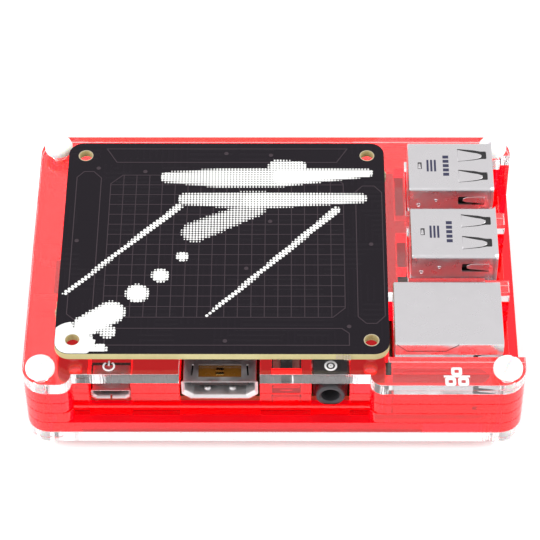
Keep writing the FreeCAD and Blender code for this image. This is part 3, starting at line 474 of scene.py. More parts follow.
# ------------------------------------------------------------------ repeated shapes
def geometry_tree(name, inputs):
    """A geometry tree with named inputs, and its input and output nodes."""
    tree = bpy.data.node_groups.new(name, "GeometryNodeTree")
    for label, kind in inputs:
        tree.interface.new_socket(label, in_out="INPUT", socket_type="NodeSocket" + kind)
    tree.interface.new_socket("Result", in_out="OUTPUT", socket_type="NodeSocketGeometry")
    wiring = Wiring(tree)
    return wiring, wiring.node("NodeGroupInput").outputs, wiring.node("NodeGroupOutput").inputs


def close_tree(wiring, given, result, instances):
    """Ends a tree: real geometry, then its finish."""
    real = wiring.node("GeometryNodeRealizeInstances")
    paint = wiring.node("GeometryNodeSetMaterial")
    wiring.feed(real.inputs[0], instances)
    wiring.feed(paint.inputs["Geometry"], real.outputs[0])
    wiring.feed(paint.inputs["Material"], given["Finish"])
    wiring.feed(result[0], paint.outputs[0])
    return wiring.tree


def rows_tree():
    """A shape repeated in columns and rows, from where it stands."""
    wiring, given, result = geometry_tree("shapes_in_rows", [
        ("Shape", "Geometry"), ("Columns", "Int"), ("Rows", "Int"), ("Column Pitch", "Float"),
        ("Row Pitch", "Float"), ("Finish", "Material")])
    shape = given["Shape"]
    for count, pitch, axis in (("Rows", "Row Pitch", "Y"), ("Columns", "Column Pitch", "X")):
        line = wiring.node("GeometryNodeMeshLine", mode="OFFSET")
        step = wiring.node("ShaderNodeCombineXYZ")
        wiring.feed(step.inputs[axis], given[pitch])
        wiring.feed(line.inputs["Count"], given[count])
        wiring.feed(line.inputs["Offset"], step.outputs[0])
        spread = wiring.node("GeometryNodeInstanceOnPoints")
        wiring.feed(spread.inputs["Points"], line.outputs[0])
        wiring.feed(spread.inputs["Instance"], shape)
        shape = spread.outputs[0]
    return close_tree(wiring, given, result, shape)


def stamps_tree():
    """A shape stamped on every point, as large as the point's own size."""
    wiring, given, result = geometry_tree("shapes_on_points", [
        ("Points", "Geometry"), ("Stamp", "Object"), ("Finish", "Material")])
    stamp = wiring.node("GeometryNodeObjectInfo")
    wiring.feed(stamp.inputs["Object"], given["Stamp"])
    size = wiring.node("GeometryNodeInputNamedAttribute", data_type="FLOAT")
    size.inputs["Name"].default_value = "size"
    spread = wiring.node("GeometryNodeInstanceOnPoints")
    wiring.feed(spread.inputs["Points"], given["Points"])
    wiring.feed(spread.inputs["Instance"], stamp.outputs["Geometry"])
    wiring.feed(spread.inputs["Scale"], size.outputs["Attribute"])
    return close_tree(wiring, given, result, spread.outputs[0])


ROWS_TREE = rows_tree()
STAMPS_TREE = stamps_tree()


def grown(thing, tree, **values):
    """The object as its geometry tree makes it, as a plain mesh."""
    work = thing.modifiers.new("repeat", "NODES")
    work.node_group = tree
    names = {item.name: item.identifier for item in tree.interface.items_tree if item.in_out == "INPUT"}
    for label, value in values.items():
        work[names[label.replace("_", " ")]] = value
    return settled(thing)


def repeated(shape, columns, rows, column_pitch, row_pitch, finish):
    """A working object repeated in columns and rows."""
    return grown(shape, ROWS_TREE, Columns=columns, Rows=rows, Column_Pitch=float(column_pitch),
                 Row_Pitch=float(row_pitch), Finish=finish)


def stamped(places, stamp_bm, finish):
    """A shape stamped at each place; a place is a point and a size."""
    stamp = solid(stamp_bm, "stamp")
    mesh = bpy.data.meshes.new("points")
    mesh.from_pydata([tuple(point) for point, size in places], [], [])
    sizes = mesh.attributes.new("size", "FLOAT", "POINT")
    sizes.data.foreach_set("value", [size for point, size in places])
    thing = linked("points", mesh)
    grown(thing, STAMPS_TREE, Stamp=stamp, Finish=finish)
    bpy.data.objects.remove(stamp)
    return thing


def joined(things):
    """Working objects made one."""
    bm = bmesh.new()
    for thing in things:
        bm.from_mesh(thing.data)
        bpy.data.objects.remove(thing)
    return held(bm, "joined")


# ------------------------------------------------------------------ acrylic plates
def outlines(node):
    """The closed outlines of a plate's upper face, each with the sheet on its left."""
    bm = bmesh.new()
    bm.from_mesh(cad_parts[node].data)
    bmesh.ops.scale(bm, vec=(1 / MM,) * 3, verts=bm.verts)
    bmesh.ops.remove_doubles(bm, verts=bm.verts, dist=1e-3)
    following = {}
    for face in bm.faces:
        if face.normal.z > 0.9:
            for corner in face.loops:
                if any(abs(other.normal.z) < 0.5 for other in corner.edge.link_faces):
                    following[corner.vert.index] = corner.link_loop_next.vert.index
    bm.verts.ensure_lookup_table()
    places = {index: bm.verts[index].co.to_2d() for index in following}
    bm.free()
    found = []
    while following:
        start = next(iter(following))
        ring, here = [], start
        while here in following:
            ring.append(places[here])
            here = following.pop(here)
        found.append(ring)
    return found


def drawn_in(ring, distance):
    """The outline moved towards the sheet."""
    moved = []
    for i, point in enumerate(ring):
        before = (point - ring[i - 1]).normalized()
        after = (ring[(i + 1) % len(ring)] - point).normalized()
        side = Vector((-before.y, before.x)) + Vector((-after.y, after.x))
        moved.append(point + side * distance / max(0.3, 1 + before.dot(after)))
    return moved


def polished_plate(node, finish):
    """A plate with a fine rounded arris on every edge, a hair clear of its neighbours."""
    low, high = corners(node)
    gap, arris = 0.015, 0.12
    levels = [(arris, low.z + gap), (0.3 * arris, low.z + gap + 0.3 * arris), (0, low.z + gap + arris),
              (0, high.z - gap - arris), (0.3 * arris, high.z - gap - 0.3 * arris), (arris, high.z - gap)]
    bm = bmesh.new()
    lower, upper = [], []
    for ring in outlines(node):
        loops = loft(bm, [[(*point, z) for point in drawn_in(ring, inset)] for inset, z in levels], capped=False)
        for edges, end in ((lower, loops[0]), (upper, loops[-1])):
            edges += [bm.edges.get((end[i - 1], end[i])) for i in range(len(end))]
    for edges in (lower, upper):
        bmesh.ops.triangle_fill(bm, use_beauty=True, edges=edges)
    finished(solid(bm), node.replace("case_layer", "red_plate") + "_polished", finish, CASE, (node,), 20)


def build_plates():
    """The two clear plates and the four red ones."""
    for node in ("base_plate", "top_plate"):
        polished_plate(node, CLEAR)
    for node in ("case_layer_1", "case_layer_2", "case_layer_3", "case_layer_4"):
        polished_plate(node, RED)


# ------------------------------------------------------------------ bolts and nuts
def bolt(x, y, low, head, top, turn):
    """A nylon bolt: rounded slotted head and ringed thread."""
    root, crest, pitch = 1.22, 1.46, 0.6
    profile = [(0, low), (1.0, low), (root, low + 0.3)]
    height = low + 0.4
    while height < head - 1.0:
        profile += [(root, height), (crest, height + 0.2), (crest, height + 0.3), (root, height + 0.5)]
        height += pitch
    profile += [(crest, head - 0.3), (crest, head), (2.6, head + 0.01), (2.82, head + 0.2), (2.85, head + 0.5),
                (2.85, head + 1.1), (2.72, head + 1.5), (2.4, head + 1.8), (1.9, top - 0.03), (1.2, top), (0, top)]
    turned = shaped(lathe, profile, (0, 0, 0), steps=36)
    slot = shaped(box, (-4, -0.4, top - 0.9), (4, 0.4, top + 1))
    cut(turned, slot)
    turned.data.transform(Matrix.Translation((x, y, 0)) @ Matrix.Rotation(math.radians(turn), 4, "Z"))
    return turned


def nut(x, y, low, high, turn):
    """A hexagon nut with eased corners and a threaded hole."""
    body = shaped(prism, circle(0, 0, 2.75 / math.cos(math.pi / 6), 6), low, high)
    bm = bmesh.new()
    lathe(bm, [(0, low), (2.8, low), (3.17, low + 0.35), (3.17, high - 0.35), (2.8, high), (0, high)], (0, 0, 0))
    cut(body, solid(bm), "INTERSECT")
    bm = bmesh.new()
    lathe(bm, [(0, low - 1), (1.75, low - 0.01), (1.48, low + 0.25), (1.48, high - 0.25), (1.75, high + 0.01),
               (0, high + 1)], (0, 0, 0))
    cut(body, solid(bm))
    body.data.transform(Matrix.Translation((x, y, 0)) @ Matrix.Rotation(math.radians(turn), 4, "Z"))
    return body


def build_fasteners():
    """The four bolts, each turned its own way, and their nuts."""
    low, high = corners("corner_bolts")
    head = corners("top_plate")[1].z
    nut_low, nut_high = corners("corner_nuts")
    x, y = high.x - 2.85, high.y - 2.85
    places = [(-x, -y, 40), (x, -y, 65), (-x, y, 12), (x, y, -38)]
    bolts = joined([bolt(px, py, low.z, head, high.z, turn) for px, py, turn in places])
    finished(bolts, "nylon_bolts", NYLON, CASE, ("corner_bolts",), 40)
    nuts = joined([nut(px, py, nut_low.z, nut_high.z, 0) for px, py, turn in places])
    finished(nuts, "nylon_nuts", NYLON, CASE, ("corner_nuts",), 30)


# ------------------------------------------------------------------ the add-on board's print and copper
def ribbon(bm, points, width, low, high, closed=False):
    """A flat raised line through points."""
    points = [Vector(point) for point in points]
    count = len(points)
    sides = []
    for i, point in enumerate(points):
        before = (point - points[i - 1]).normalized() if i or closed else None
        after = (points[(i + 1) % count] - point).normalized() if i < count - 1 or closed else None
        before, after = before or after, after or before
        side = Vector((-before.y - after.y, before.x + after.x))
        sides.append(side * width / 2 / max(0.3, 1 + before.dot(after)))
    rings = []
    for point, side in zip(points, sides):
        left, right = point + side, point - side
        rings.append([(*left, low), (*left, high), (*right, high), (*right, low)])
    loft(bm, rings + rings[:1] if closed else rings, capped=not closed)


def chamfered(left, low, right, high, size):
    """A rectangle's outline with its corners cut off."""
    return [(left + size, low), (right - size, low), (right, low + size), (right, high - size),
            (right - size, high), (left + size, high), (left, high - size), (left, low + size)]


def build_copper():
    """The grid and guard lines that show through the lacquer, raised by its thickness."""
    origin = on("addon_board", 0, 0)
    low, high = origin.z - 0.01, origin.z + 0.025
    left, front, right, back = 9.0, 9.2, 56.5, 47.0
    columns, rows = 18, 14
    step_x, step_y = (right - left) / columns, (back - front) / rows
    bm = bmesh.new()
    ribbon(bm, [(left + step_x, front), (left + step_x, back)], 0.15, low, high)
    upright = repeated(solid(bm), columns - 1, 1, step_x, 0, LINES)
    bm = bmesh.new()
    ribbon(bm, [(left, front + step_y), (right, front + step_y)], 0.15, low, high + 0.002)
    level = repeated(solid(bm), 1, rows - 1, 0, step_y, LINES)
    bm = bmesh.new()
    ribbon(bm, chamfered(left, front, right, back, 2.4), 0.17, low, high + 0.001, True)
    guards = [[(7.8, 54.4), (57.4, 54.4), (55.2, 50.6), (10.0, 50.6)],
              [(9.7, 2.2), (57.2, 2.2), (57.2, 5.2), (55.8, 6.4), (11.0, 6.4), (9.7, 5.2)],
              [(2.0, 10.0), (3.6, 8.5), (5.6, 8.5), (7.0, 10.4), (7.0, 46.2), (5.4, 48.0), (3.4, 48.0), (2.0, 46.4)],
              [(59.0, 9.4), (60.6, 7.7), (62.6, 7.7), (64.3, 9.6), (64.3, 42.2), (62.8, 44.0), (60.4, 44.0),
               (59.0, 42.4)]]
    for guard in guards:
        ribbon(bm, guard, 0.18, low, high, True)
    lines = joined([upright, level, solid(bm)])
    lines.data.transform(Matrix.Translation((origin.x, origin.y, 0)))
    finished(lines, "addon_guard_lines", LINES, ADDON, smooth=20)

    vias = [(6.3, 48.95), (15.95, 48.0), (32.5, 53.1), (41.7, 52.6), (41.65, 34.3), (37.0, 21.8), (2.9, 29.1),
            (61.9, 28.2), (57.2, 6.9), (33.1, 3.25)]
    bm = bmesh.new()
    lathe(bm, [(0.26, -0.01), (0.44, -0.01), (0.44, 0.03), (0.4, 0.04), (0.32, 0.04), (0.26, 0.01)],
          (0, 0, 0), steps=16)
    rings = stamped([(origin + Vector((x, y, 0)), 1.0) for x, y in vias], bm, LINES)
    finished(rings, "addon_test_rings", LINES, ADDON)


def inside_stroke(x, y, start, end, radii):
    """How deep a place lies in a stroke with round ends, from 0 at its edge to 1 on its centre line."""
    place, first, second = Vector((x, y)), Vector(start), Vector(end)
    run = second - first
    share = min(1.0, max(0.0, (place - first).dot(run) / run.length_squared)) if run.length else 0.0
    radius = radii[0] * (1 - share) + radii[1] * share
    return 1 - (place - first - run * share).length / radius


STROKES = [
    # start, end, radius at each, how fast the dots grow inwards, how white the middle gets
    ((20.5, 46.4), (31.0, 46.2), (1.6, 2.9), 2.2, 0.66), ((31.0, 46.2), (44.0, 46.4), (2.9, 2.8), 2.6, 0.84),
    ((44.0, 46.4), (61.5, 47.6), (2.8, 1.2), 3.0, 0.97), ((43.0, 49.4), (47.6, 49.4), (2.0, 1.6), 3.0, 0.86),
    ((24.5, 40.4), (38.0, 40.0), (1.8, 2.6), 2.0, 0.6), ((38.0, 40.0), (60.0, 40.6), (2.6, 1.4), 2.2, 0.76),
    ((26.5, 31.4), (38.5, 37.8), (2.9, 2.4), 1.7, 0.5), ((23.2, 38.4), (1.3, 15.2), (0.8, 0.4), 2.4, 0.7),
    ((55.0, 37.4), (29.6, 9.7), (0.9, 0.4), 2.4, 0.8), ((24.2, 24.9), (24.2, 24.9), (1.4, 1.4), 2.2, 0.96),
    ((20.0, 19.9), (20.0, 19.9), (1.95, 1.95), 2.8, 1.0), ((15.6, 15.3), (15.6, 15.3), (2.5, 2.5), 3.6, 1.0),
    ((10.7, 10.4), (6.0, 7.0), (3.0, 2.9), 4.0, 1.0), ((10.3, 5.5), (10.3, 5.5), (1.8, 1.8), 2.4, 0.9),
    ((7.6, 1.0), (9.0, 1.2), (1.6, 1.5), 3.0, 0.96), ((5.0, 3.2), (5.0, 3.2), (2.6, 2.6), 9.0, 1.0),
]


CORNER_RADIUS, HOLE_INSET = 3.0, 3.5


def within_corner(place, inset=0.08):
    """Whether a place keeps an inset inside the add-on board's rounded front left corner."""
    from_arc = (place - Vector((CORNER_RADIUS, CORNER_RADIUS))).length
    past_arc = max(place) > CORNER_RADIUS or from_arc < CORNER_RADIUS - inset
    return past_arc and min(place) > inset


def corner_patch(bm, centre, inner, reach):
    """A solid patch from a hole's rim out to a reach, or to the board's rounded corner where that is nearer."""
    rings = []
    for i in range(61):
        way = Vector((math.cos(i * math.tau / 60), math.sin(i * math.tau / 60)))
        outer = reach if min(way) > 0 else 1.5 * reach
        while (way.x < 0 or way.y < 0) and not within_corner(Vector(centre) + way * outer):
            outer -= 0.05
        rings.append([(centre[0] + way.x * a, centre[1] + way.y * a, z)
                      for a, z in ((inner, -0.05), (outer, -0.05), (outer, 0.05), (inner, 0.05))])
    loft(bm, rings, False)


PRINT_WIDTH, PRINT_DEPTH, PRINT_PITCH = 65, 56, 0.62
FAINTEST, SOLID_WHITE = 0.04, 0.95  # strengths from which there is a dot at all, and a full square
RIM_RADIUS, PATCH_RADIUS = 1.42, 3.0


def build_print():
    """A white half-tone print: strokes and discs of dots that grow towards their middles."""
    origin = on("addon_board", 0, 0, 0.03)
    hole = Vector((HOLE_INSET, HOLE_INSET))
    dots, squares = [], []
    for row in range(int(PRINT_DEPTH / PRINT_PITCH)):
        for column in range(int(PRINT_WIDTH / PRINT_PITCH)):
            x, y = (column + 0.5) * PRINT_PITCH, (row + 0.5) * PRINT_PITCH
            strength = max(min(most, rise * inside_stroke(x, y, start, end, radii))
                           for start, end, radii, rise, most in STROKES)
            near_hole = (Vector((x, y)) - hole).length < 2.2
            if strength > FAINTEST and within_corner(Vector((x, y)), 0.4) and not near_hole:
                chosen = squares if strength > SOLID_WHITE else dots
                size = min(1.0, 0.38 + 0.9 * strength)
                chosen.append((origin + Vector((x, y, 0)), PRINT_PITCH * size))
    square_bm, dot_bm, patch_bm = bmesh.new(), bmesh.new(), bmesh.new()
    prism(square_bm, [(-0.5, -0.5), (0.5, -0.5), (0.5, 0.5), (-0.5, 0.5)], -0.05, 0.04)
    cut_in = 0.207
    dot = [(0.5, -cut_in), (0.5, cut_in), (cut_in, 0.5), (-cut_in, 0.5)]
    prism(dot_bm, dot + [(-x, -y) for x, y in dot], -0.05, 0.05)
    corner_patch(patch_bm, hole, RIM_RADIUS, PATCH_RADIUS)
    patch = solid(patch_bm)
    patch.data.transform(Matrix.Translation(origin))
    flatten(patch, origin.z + 0.012)
    white = joined([stamped(squares, square_bm, INK), stamped(dots, dot_bm, INK)])
    flatten(white, origin.z)
    finished(joined([white, patch]), "addon_halftone_print", INK, ADDON, smooth=20)


def flatten(thing, height):
    """Brings every point above a height down to it, and every lower one to the board's face."""
    for vertex in thing.data.vertices:
        vertex.co.z = height if vertex.co.z > height else height - 0.04


def build_addon_edges():
    """Bright rims round the add-on board's holes and the rough stubs where it was snapped from its panel."""
    low, high = corners("addon_board")
    bm = bmesh.new()
    profile = [(1.34, 0), (1.52, 0.0), (1.5, 0.03), (1.36, 0.03)]
    for x in (low.x + HOLE_INSET, high.x - HOLE_INSET):
        for y in (low.y + HOLE_INSET, high.y - HOLE_INSET):
            for z, turned in ((high.z, 1), (low.z, -1)):
                lathe(bm, [(radius, turned * height) for radius, height in profile], (x, y, z), steps=32, hollow=True)
    finished(solid(bm), "addon_hole_rims", FIBRE, ADDON, smooth=30)

    bm = bmesh.new()
    stubs = [("x", high.x, low.y + 45.5, 7), ("x", low.x - 0.3, low.y + 8.5, 10), ("y", low.y - 0.3, low.x + 54.6, 6)]
    for axis, edge, start, count in stubs:
        for i in range(count):
            jut = 0.3 * (0.55 + 0.45 * math.sin(5.3 * i + start))
            near = edge if edge > 0 and axis == "x" else edge + 0.3 - jut
            first, second = (near, start + 0.5 * i), (near + jut, start + 0.5 * i + 0.4)
            if axis == "y":
                first, second = first[::-1], second[::-1]
            box(bm, (*first, low.z + 0.1), (*second, high.z - 0.1 - 0.2 * (i % 2)))
    finished(softened(solid(bm), 0.05, 1), "addon_snapped_stubs", FIBRE, ADDON)


# ------------------------------------------------------------------ folded metal shells
def spring_window(length, root, tip):
    """The outline of a slot round a spring tongue, from the tongue's root at 0 to its tip."""
    outer = [(0, root), (0.55 * length, 0.5 * (root + tip)), (0.8 * length, tip), (length - 0.15, tip),
             (length, tip - 0.2)]
    return outer + [(a, -b) for a, b in reversed(outer)]


def spring_leaf(bm, place, length, root, tip, drop):
    """A tapered spring tongue that bends inwards and curls up at its tip."""
    rings = []
    for i in range(11):
        share = i / 10
        along = share * (length - 0.95)
        half = (root - 0.16) * (1 - share) + (tip - 0.45) * share
        if share > 0.85:
            half *= 0.8 if share < 0.95 else 0.45
        depth = drop * math.sin(min(1.0, share / 0.75) * math.pi / 2) - 0.35 * drop * max(0.0, share - 0.75) / 0.25
        rings.append([place(along, half, -depth), place(along, -half, -depth),
                      place(along, -half, -depth - 0.2), place(along, half, -depth - 0.2)])
    loft(bm, rings)


def port_shell(left, right, base, top, rear, front, flare, bend, wall):
    """A folded shell open at its front, with lips that flare out round the mouth."""
    outer = [(rear, -0.3), (rear + 0.12, -0.08), (rear + 0.35, 0.0), (front - 1.1, 0.0), (front - 0.75, 0.06 * flare),
             (front - 0.45, 0.3 * flare), (front - 0.2, 0.68 * flare), (front - 0.05, 0.97 * flare), (front, flare)]
    inner = [(front - 0.02, flare - 0.2), (front - 0.2, 0.5 * flare - 0.2), (front - 0.5, 0.1 * flare - wall),
             (front - 0.9, -wall), (rear + wall, -wall)]
    rings = []
    for x, grow in outer + inner:
        floor = base if (x, grow) in outer else base + wall
        radius = max(0.08, bend + grow)
        outline = rounded(left - grow, floor, right + grow, top + grow, (0.02, 0.02, radius, radius), 4)
        rings.append([carry("x", a, b, x) for a, b in outline])
    return shaped(loft, rings)


def usb_windows(left, right, top, front, levels):
    """Each spring tongue of a stacked socket: a function that places its points, its length and its widths."""
    middle = (left + right) / 2
    springs = []
    for offset in (-2.9, 2.9):
        springs.append((lambda a, b, c, m=middle + offset: (front - 7.0 + a, m + b, top + c), 5.9, 1.75, 1.05))
    for level in levels:
        springs.append((lambda a, b, c, z=level: (front - 1.7 - a, left - c, z + b), 5.4, 1.2, 1.15))
        springs.append((lambda a, b, c, z=level: (front - 1.7 - a, right + c, z + b), 5.4, 1.2, 1.15))
    return springs


def build_usb(name):
    """A stacked pair of sockets: folded shell with spring tongues, lips, a divider and soldered tabs."""
    low, high = corners(f"{name}_shell")
    core_low, core_high = corners(f"{name}_insulator")
    wall = 0.3
    left, right, top = core_low.y - wall, core_high.y + wall, core_high.z + wall
    flare, middle = high.y - right, (left + right) / 2
    levels = (low.z + 4.3, low.z + 12.6)
    shell = port_shell(left, right, low.z, top, low.x, high.x, flare, 0.7, wall)
    bm = bmesh.new()
    springs = usb_windows(left, right, top, high.x, levels)
    for place, length, root, tip in springs:
        outline = spring_window(length, root, tip)
        loft(bm, [[place(a, b, c) for a, b in outline] for c in (-wall - 0.05, 0.5)])
    box(bm, (low.x + 2.0, middle - 0.9, top - 0.35), (low.x + 2.8, middle + 0.9, top + 0.5))
    cut(shell, solid(bm))
    bm = bmesh.new()
    for place, length, root, tip in springs:
        spring_leaf(bm, place, length, root, tip, 0.2)
    mouth = core_high.x
    for start, end in ((low.z + 0.35, low.z + 1.05), (low.z + 6.3, low.z + 9.0), (low.z + 14.3, top - wall - 0.02)):
        box(bm, (mouth + 0.01, left + wall + 0.02, start), (mouth + 0.3, right - wall - 0.02, end))
    box(bm, (low.x + 2.1, middle - 0.65, top - 0.32), (low.x + 2.6, middle + 0.65, top - 0.05))
    trim = softened(solid(bm), 0.06, 1)
    bm = bmesh.new()
    for side, turned in ((left, -1), (right, 1)):
        for x, z, radius in ((low.x + 2.1, top - 4.7, 0.5), (low.x + 5.6, top - 3.3, 0.38)):
            profile = [(radius, 0), (0.9 * radius, 0.12 * turned), (0.6 * radius, 0.17 * turned),
                       (0.45 * radius, 0.05 * turned), (0, 0.02 * turned)]
            lathe(bm, [(0, -0.1 * turned), (radius, -0.1 * turned)] + profile, (x, side, z), "y", 16)
    finished(joined([shell, trim, solid(bm)]), f"{name}_folded_shell", STEEL, CASE,
             (f"{name}_shell",), 40)
    bm = bmesh.new()
    for step in range(-2, 3):
        y = middle + 1.2 * step
        box(bm, (low.x + 7.1, y - 0.4, top - 0.02), (low.x + 8.3, y + 0.4, top + 0.02))
    for step in range(3):
        ribbon(bm, [(low.x + 4.0 + 0.75 * step, middle - 1.6), (low.x + 4.0 + 0.75 * step, middle + 1.6)], 0.42,
               top - 0.02, top + 0.02)
    finished(solid(bm), f"{name}_printed_dashes", BLUE_INK, CASE)


def flap_seam(rear, top, side, inwards, half, start, end):
    """The stations of a band along the folded flap's seam, half a width wide, between two depths in the wall."""
    near, far = side + inwards * start, side + inwards * end
    corner_places = ((rear + 0.4, top - 0.35), (rear + 2.4, top - 2.3), (rear + 10.0, top - 2.3),
                     (rear + 12.4, top - 0.35))
    return [[(x, near, z - half), (x, far, z - half), (x, far, z + half), (x, near, z + half)]
            for x, z in corner_places]


def build_network():
    """The network socket's folded shield: seams of its corner flap with black strips in them as painted shade, side
    springs and a framed mouth.
    """
    low, high = corners("network_shell")
    wall = 0.3
    # Black strips sunk in the flap seams: painted shade for the dark gap under the folded flap.
    bm = bmesh.new()
    for side, inwards in ((low.y, 1), (high.y, -1)):
        loft(bm, flap_seam(low.x, high.z, side, inwards, 0.13, 0.06, 0.25))
    finished(solid(bm), "network_flap_gaps", MOULDED, CASE)
    shell = port_shell(low.y, high.y, low.z, high.z, low.x, high.x, 0.0, 0.5, wall)
    bm = bmesh.new()
    for side, inwards in ((low.y, 1), (high.y, -1)):
        loft(bm, flap_seam(low.x, high.z, side, inwards, 0.12, -0.2, 0.22))
        for level in (low.z + 4.0, low.z + 9.2):
            outline = spring_window(4.4, 0.95, 0.8)
            loft(bm, [[(high.x - 1.4 - a, side + c, level + b) for a, b in outline] for c in (-0.35, 0.35)])
    cut(shell, solid(bm))
    bm = bmesh.new()
    for side, turned in ((low.y, 1), (high.y, -1)):
        for level in (low.z + 4.0, low.z + 9.2):
            spring_leaf(bm, lambda a, b, c: (high.x - 1.4 - a, side - turned * c, level + b), 4.4, 0.95, 0.8, 0.12)
    inner = corners("network_insulator")[1].x
    for first, second in (((low.y + 0.32, high.z - 1.8), (high.y - 0.32, high.z - 0.34)),
                          ((low.y + 0.32, low.z + 2.3), (low.y + 1.6, high.z - 1.85)),
                          ((high.y - 1.6, low.z + 2.3), (high.y - 0.32, high.z - 1.85))):
        box(bm, (inner + 0.01, *first), (inner + 0.26, *second))
    finished(joined([shell, softened(solid(bm), 0.06, 1)]), "network_folded_shield", STEEL, CASE,
             ("network_shell",), 40)


# ------------------------------------------------------------------ small sockets along the front edge
def sloped(half, low, high, slope):
    """A socket's outline whose lower corners slope in."""
    return [(-half + slope, low), (half - slope, low), (half, low + 0.9 * slope), (half, high), (-half, high),
            (-half, low + 0.9 * slope)]


def sloped_shell(middle, low, high, slope, flare, wall):
    """A small folded shell open at its front, flared round the mouth."""
    half = (high.x - low.x) / 2
    front, rear = low.y, high.y
    outer = [(rear, flare + 0.15), (rear - 0.2, flare), (front + 0.9, flare), (front + 0.55, 0.8 * flare),
             (front + 0.25, 0.35 * flare), (front + 0.06, 0.05), (front, 0.0)]
    inner = [(front, 0.16), (front + 0.12, 0.4 * flare + 0.16), (front + 0.5, flare + 0.8 * wall),
             (front + 0.9, flare + wall), (rear - wall - 0.2, flare + wall)]
    rings = []
    for y, inset in outer + inner:
        outline = sloped(half - inset, low.z + inset, high.z - inset, slope)
        rings.append([(middle + a, y, b) for a, b in outline])
    return softened(shaped(loft, rings), 0.18, 3, 25)


def build_video():
    """The video socket: lipped shell with a window on top, two dimples in its mouth, tongue and contacts."""
    low, high = corners("video_shell")
    middle = (low.x + high.x) / 2
    shell = sloped_shell(middle, low, high, 1.7, 0.4, 0.3)
    roof = high.z - 0.4
    bm = bmesh.new()
    box(bm, (middle - 4.2, low.y + 1.5, roof - 0.5), (middle + 4.2, low.y + 4.6, roof + 1))
    for side in (-1, 1):
        outline = [(middle + side * 5.35, low.y + 1.9), (middle + side * 5.7, low.y + 1.9),
                   (middle + side * 5.5, low.y + 4.6), (middle + side * 5.15, low.y + 4.6)]
        prism(bm, outline, roof - 0.5, roof + 1)
    cut(shell, solid(bm))
    bm = bmesh.new()
    for x in (-2.45, 2.45):
        lathe(bm, [(0, 0), (0.75, 0.0), (0.6, 0.35), (0.35, 0.5), (0, 0.52)],
              (middle + x, low.y + 2.3, low.z + 0.68), steps=14)
    for x in (-5.9, 5.9):
        box(bm, (middle + x - 0.5, high.y - 2.0, corners("main_board")[1].z),
            (middle + x + 0.5, high.y - 0.6, low.z + 1.2))
    finished(joined([shell, softened(solid(bm), 0.08, 1)]), "video_folded_shell", TINNED, CASE,
             ("video_shell",), 35)

    bm = bmesh.new()
    box(bm, (middle - 4.3, low.y + 1.45, roof - 1.3), (middle + 4.3, low.y + 4.8, roof - 0.42))
    finished(softened(solid(bm), 0.1), "video_amber_block", AMBER, CASE)
    bm = bmesh.new()
    for y in (low.y + 2.2, low.y + 3.3):
        box(bm, (middle - 0.8, y, roof - 0.43), (middle + 0.8, y + 0.7, roof - 0.12))
    finished(softened(solid(bm), 0.08), "video_spring_ends", GOLD, CASE)

    bm = bmesh.new()
    box(bm, (middle - 6.6, high.y - 2.6, low.z + 0.75), (middle + 6.6, high.y - 0.65, roof - 0.32))
    box(bm, (middle - 5.6, low.y + 1.6, low.z + 2.2), (middle + 5.6, high.y - 2.5, low.z + 3.1))
    finished(softened(solid(bm), 0.12), "video_tongue", MOULDED, CASE, ("video_insulator",))
    bm = bmesh.new()
    box(bm, (middle - 4.5, low.y + 1.9, low.z + 3.08), (middle - 4.2, high.y - 2.7, low.z + 3.2))
    blades = softened(repeated(solid(bm), 10, 1, 1.0, 0, GOLD), 0.03, 1)
    finished(blades, "video_contact_blades", GOLD, CASE, ("video_contacts",))


def build_power():
    """The power socket: small shell, upper and split lower lips, tongue and contacts."""
    low, high = corners("power_shell")
    middle = (low.x + high.x) / 2
    shell = sloped_shell(middle, low, high, 0.7, 0.28, 0.22)
    bm = bmesh.new()
    box(bm, (middle - 0.2, low.y - 1, low.z - 1), (middle + 0.2, low.y + 0.7, low.z + 0.9))
    for side in (-1, 1):
        box(bm, (middle + side * 2.2 - 0.35, low.y + 1.6, high.z - 0.6),
            (middle + side * 2.2 + 0.35, low.y + 3.4, high.z + 1))
    cut(shell, solid(bm))
    bm = bmesh.new()
    for side in (-1, 1):
        spring_leaf(bm, lambda a, b, c: (middle + side * 2.2 + b, low.y + 1.6 + a, high.z - 0.28 + c),
                    2.4, 0.45, 0.6, 0.15)
    finished(joined([shell, solid(bm)]), "power_folded_shell", TINNED, CASE, ("power_shell",), 35)
    bm = bmesh.new()
    box(bm, (middle - 3.2, high.y - 1.3, low.z + 0.55), (middle + 3.2, high.y - 0.5, high.z - 0.55))
    box(bm, (middle - 2.0, low.y + 0.9, low.z + 1.15), (middle + 2.0, high.y - 1.2, low.z + 1.6))
    finished(softened(solid(bm), 0.06), "power_tongue", MOULDED, CASE, ("power_insulator",))


def build_audio():
    """The round sound socket: moulded body, ringed nose, bore with a bright contact band."""
    low, high = corners("audio_body")
    board_edge = corners("main_board")[0].y
    middle, axis, bore = (low.x + high.x) / 2, low.z + 3.0, 1.8
    body = softened(shaped(box, (low.x, board_edge, low.z), high), 0.25, 3)
    bm = bmesh.new()
    nose = [(0, 3), (2.9, 3), (2.9, -2.2), (2.82, -2.38), (2.65, -2.5), (0, -2.5)]
    lathe(bm, nose, (middle, board_edge, axis), "y", 48)
    cut(body, solid(bm), "UNION")
    bm = bmesh.new()
    lathe(bm, [(0, -4), (2.25, -2.52), (bore, -2.15), (bore, 11.5), (0, 11.5)], (middle, board_edge, axis), "y", 40)
    cut(body, solid(bm))
    finished(body, "audio_moulded_body", DARK_GREY, CASE, ("audio_body",), 35)
    profile = ((1.79, 0.9), (1.66, 1.1), (1.66, 2.6), (1.79, 2.7))
    band = shaped(lathe, profile, (middle, board_edge, axis), "y", 32, True)
    finished(band, "audio_contact_band", BRIGHT, CASE)


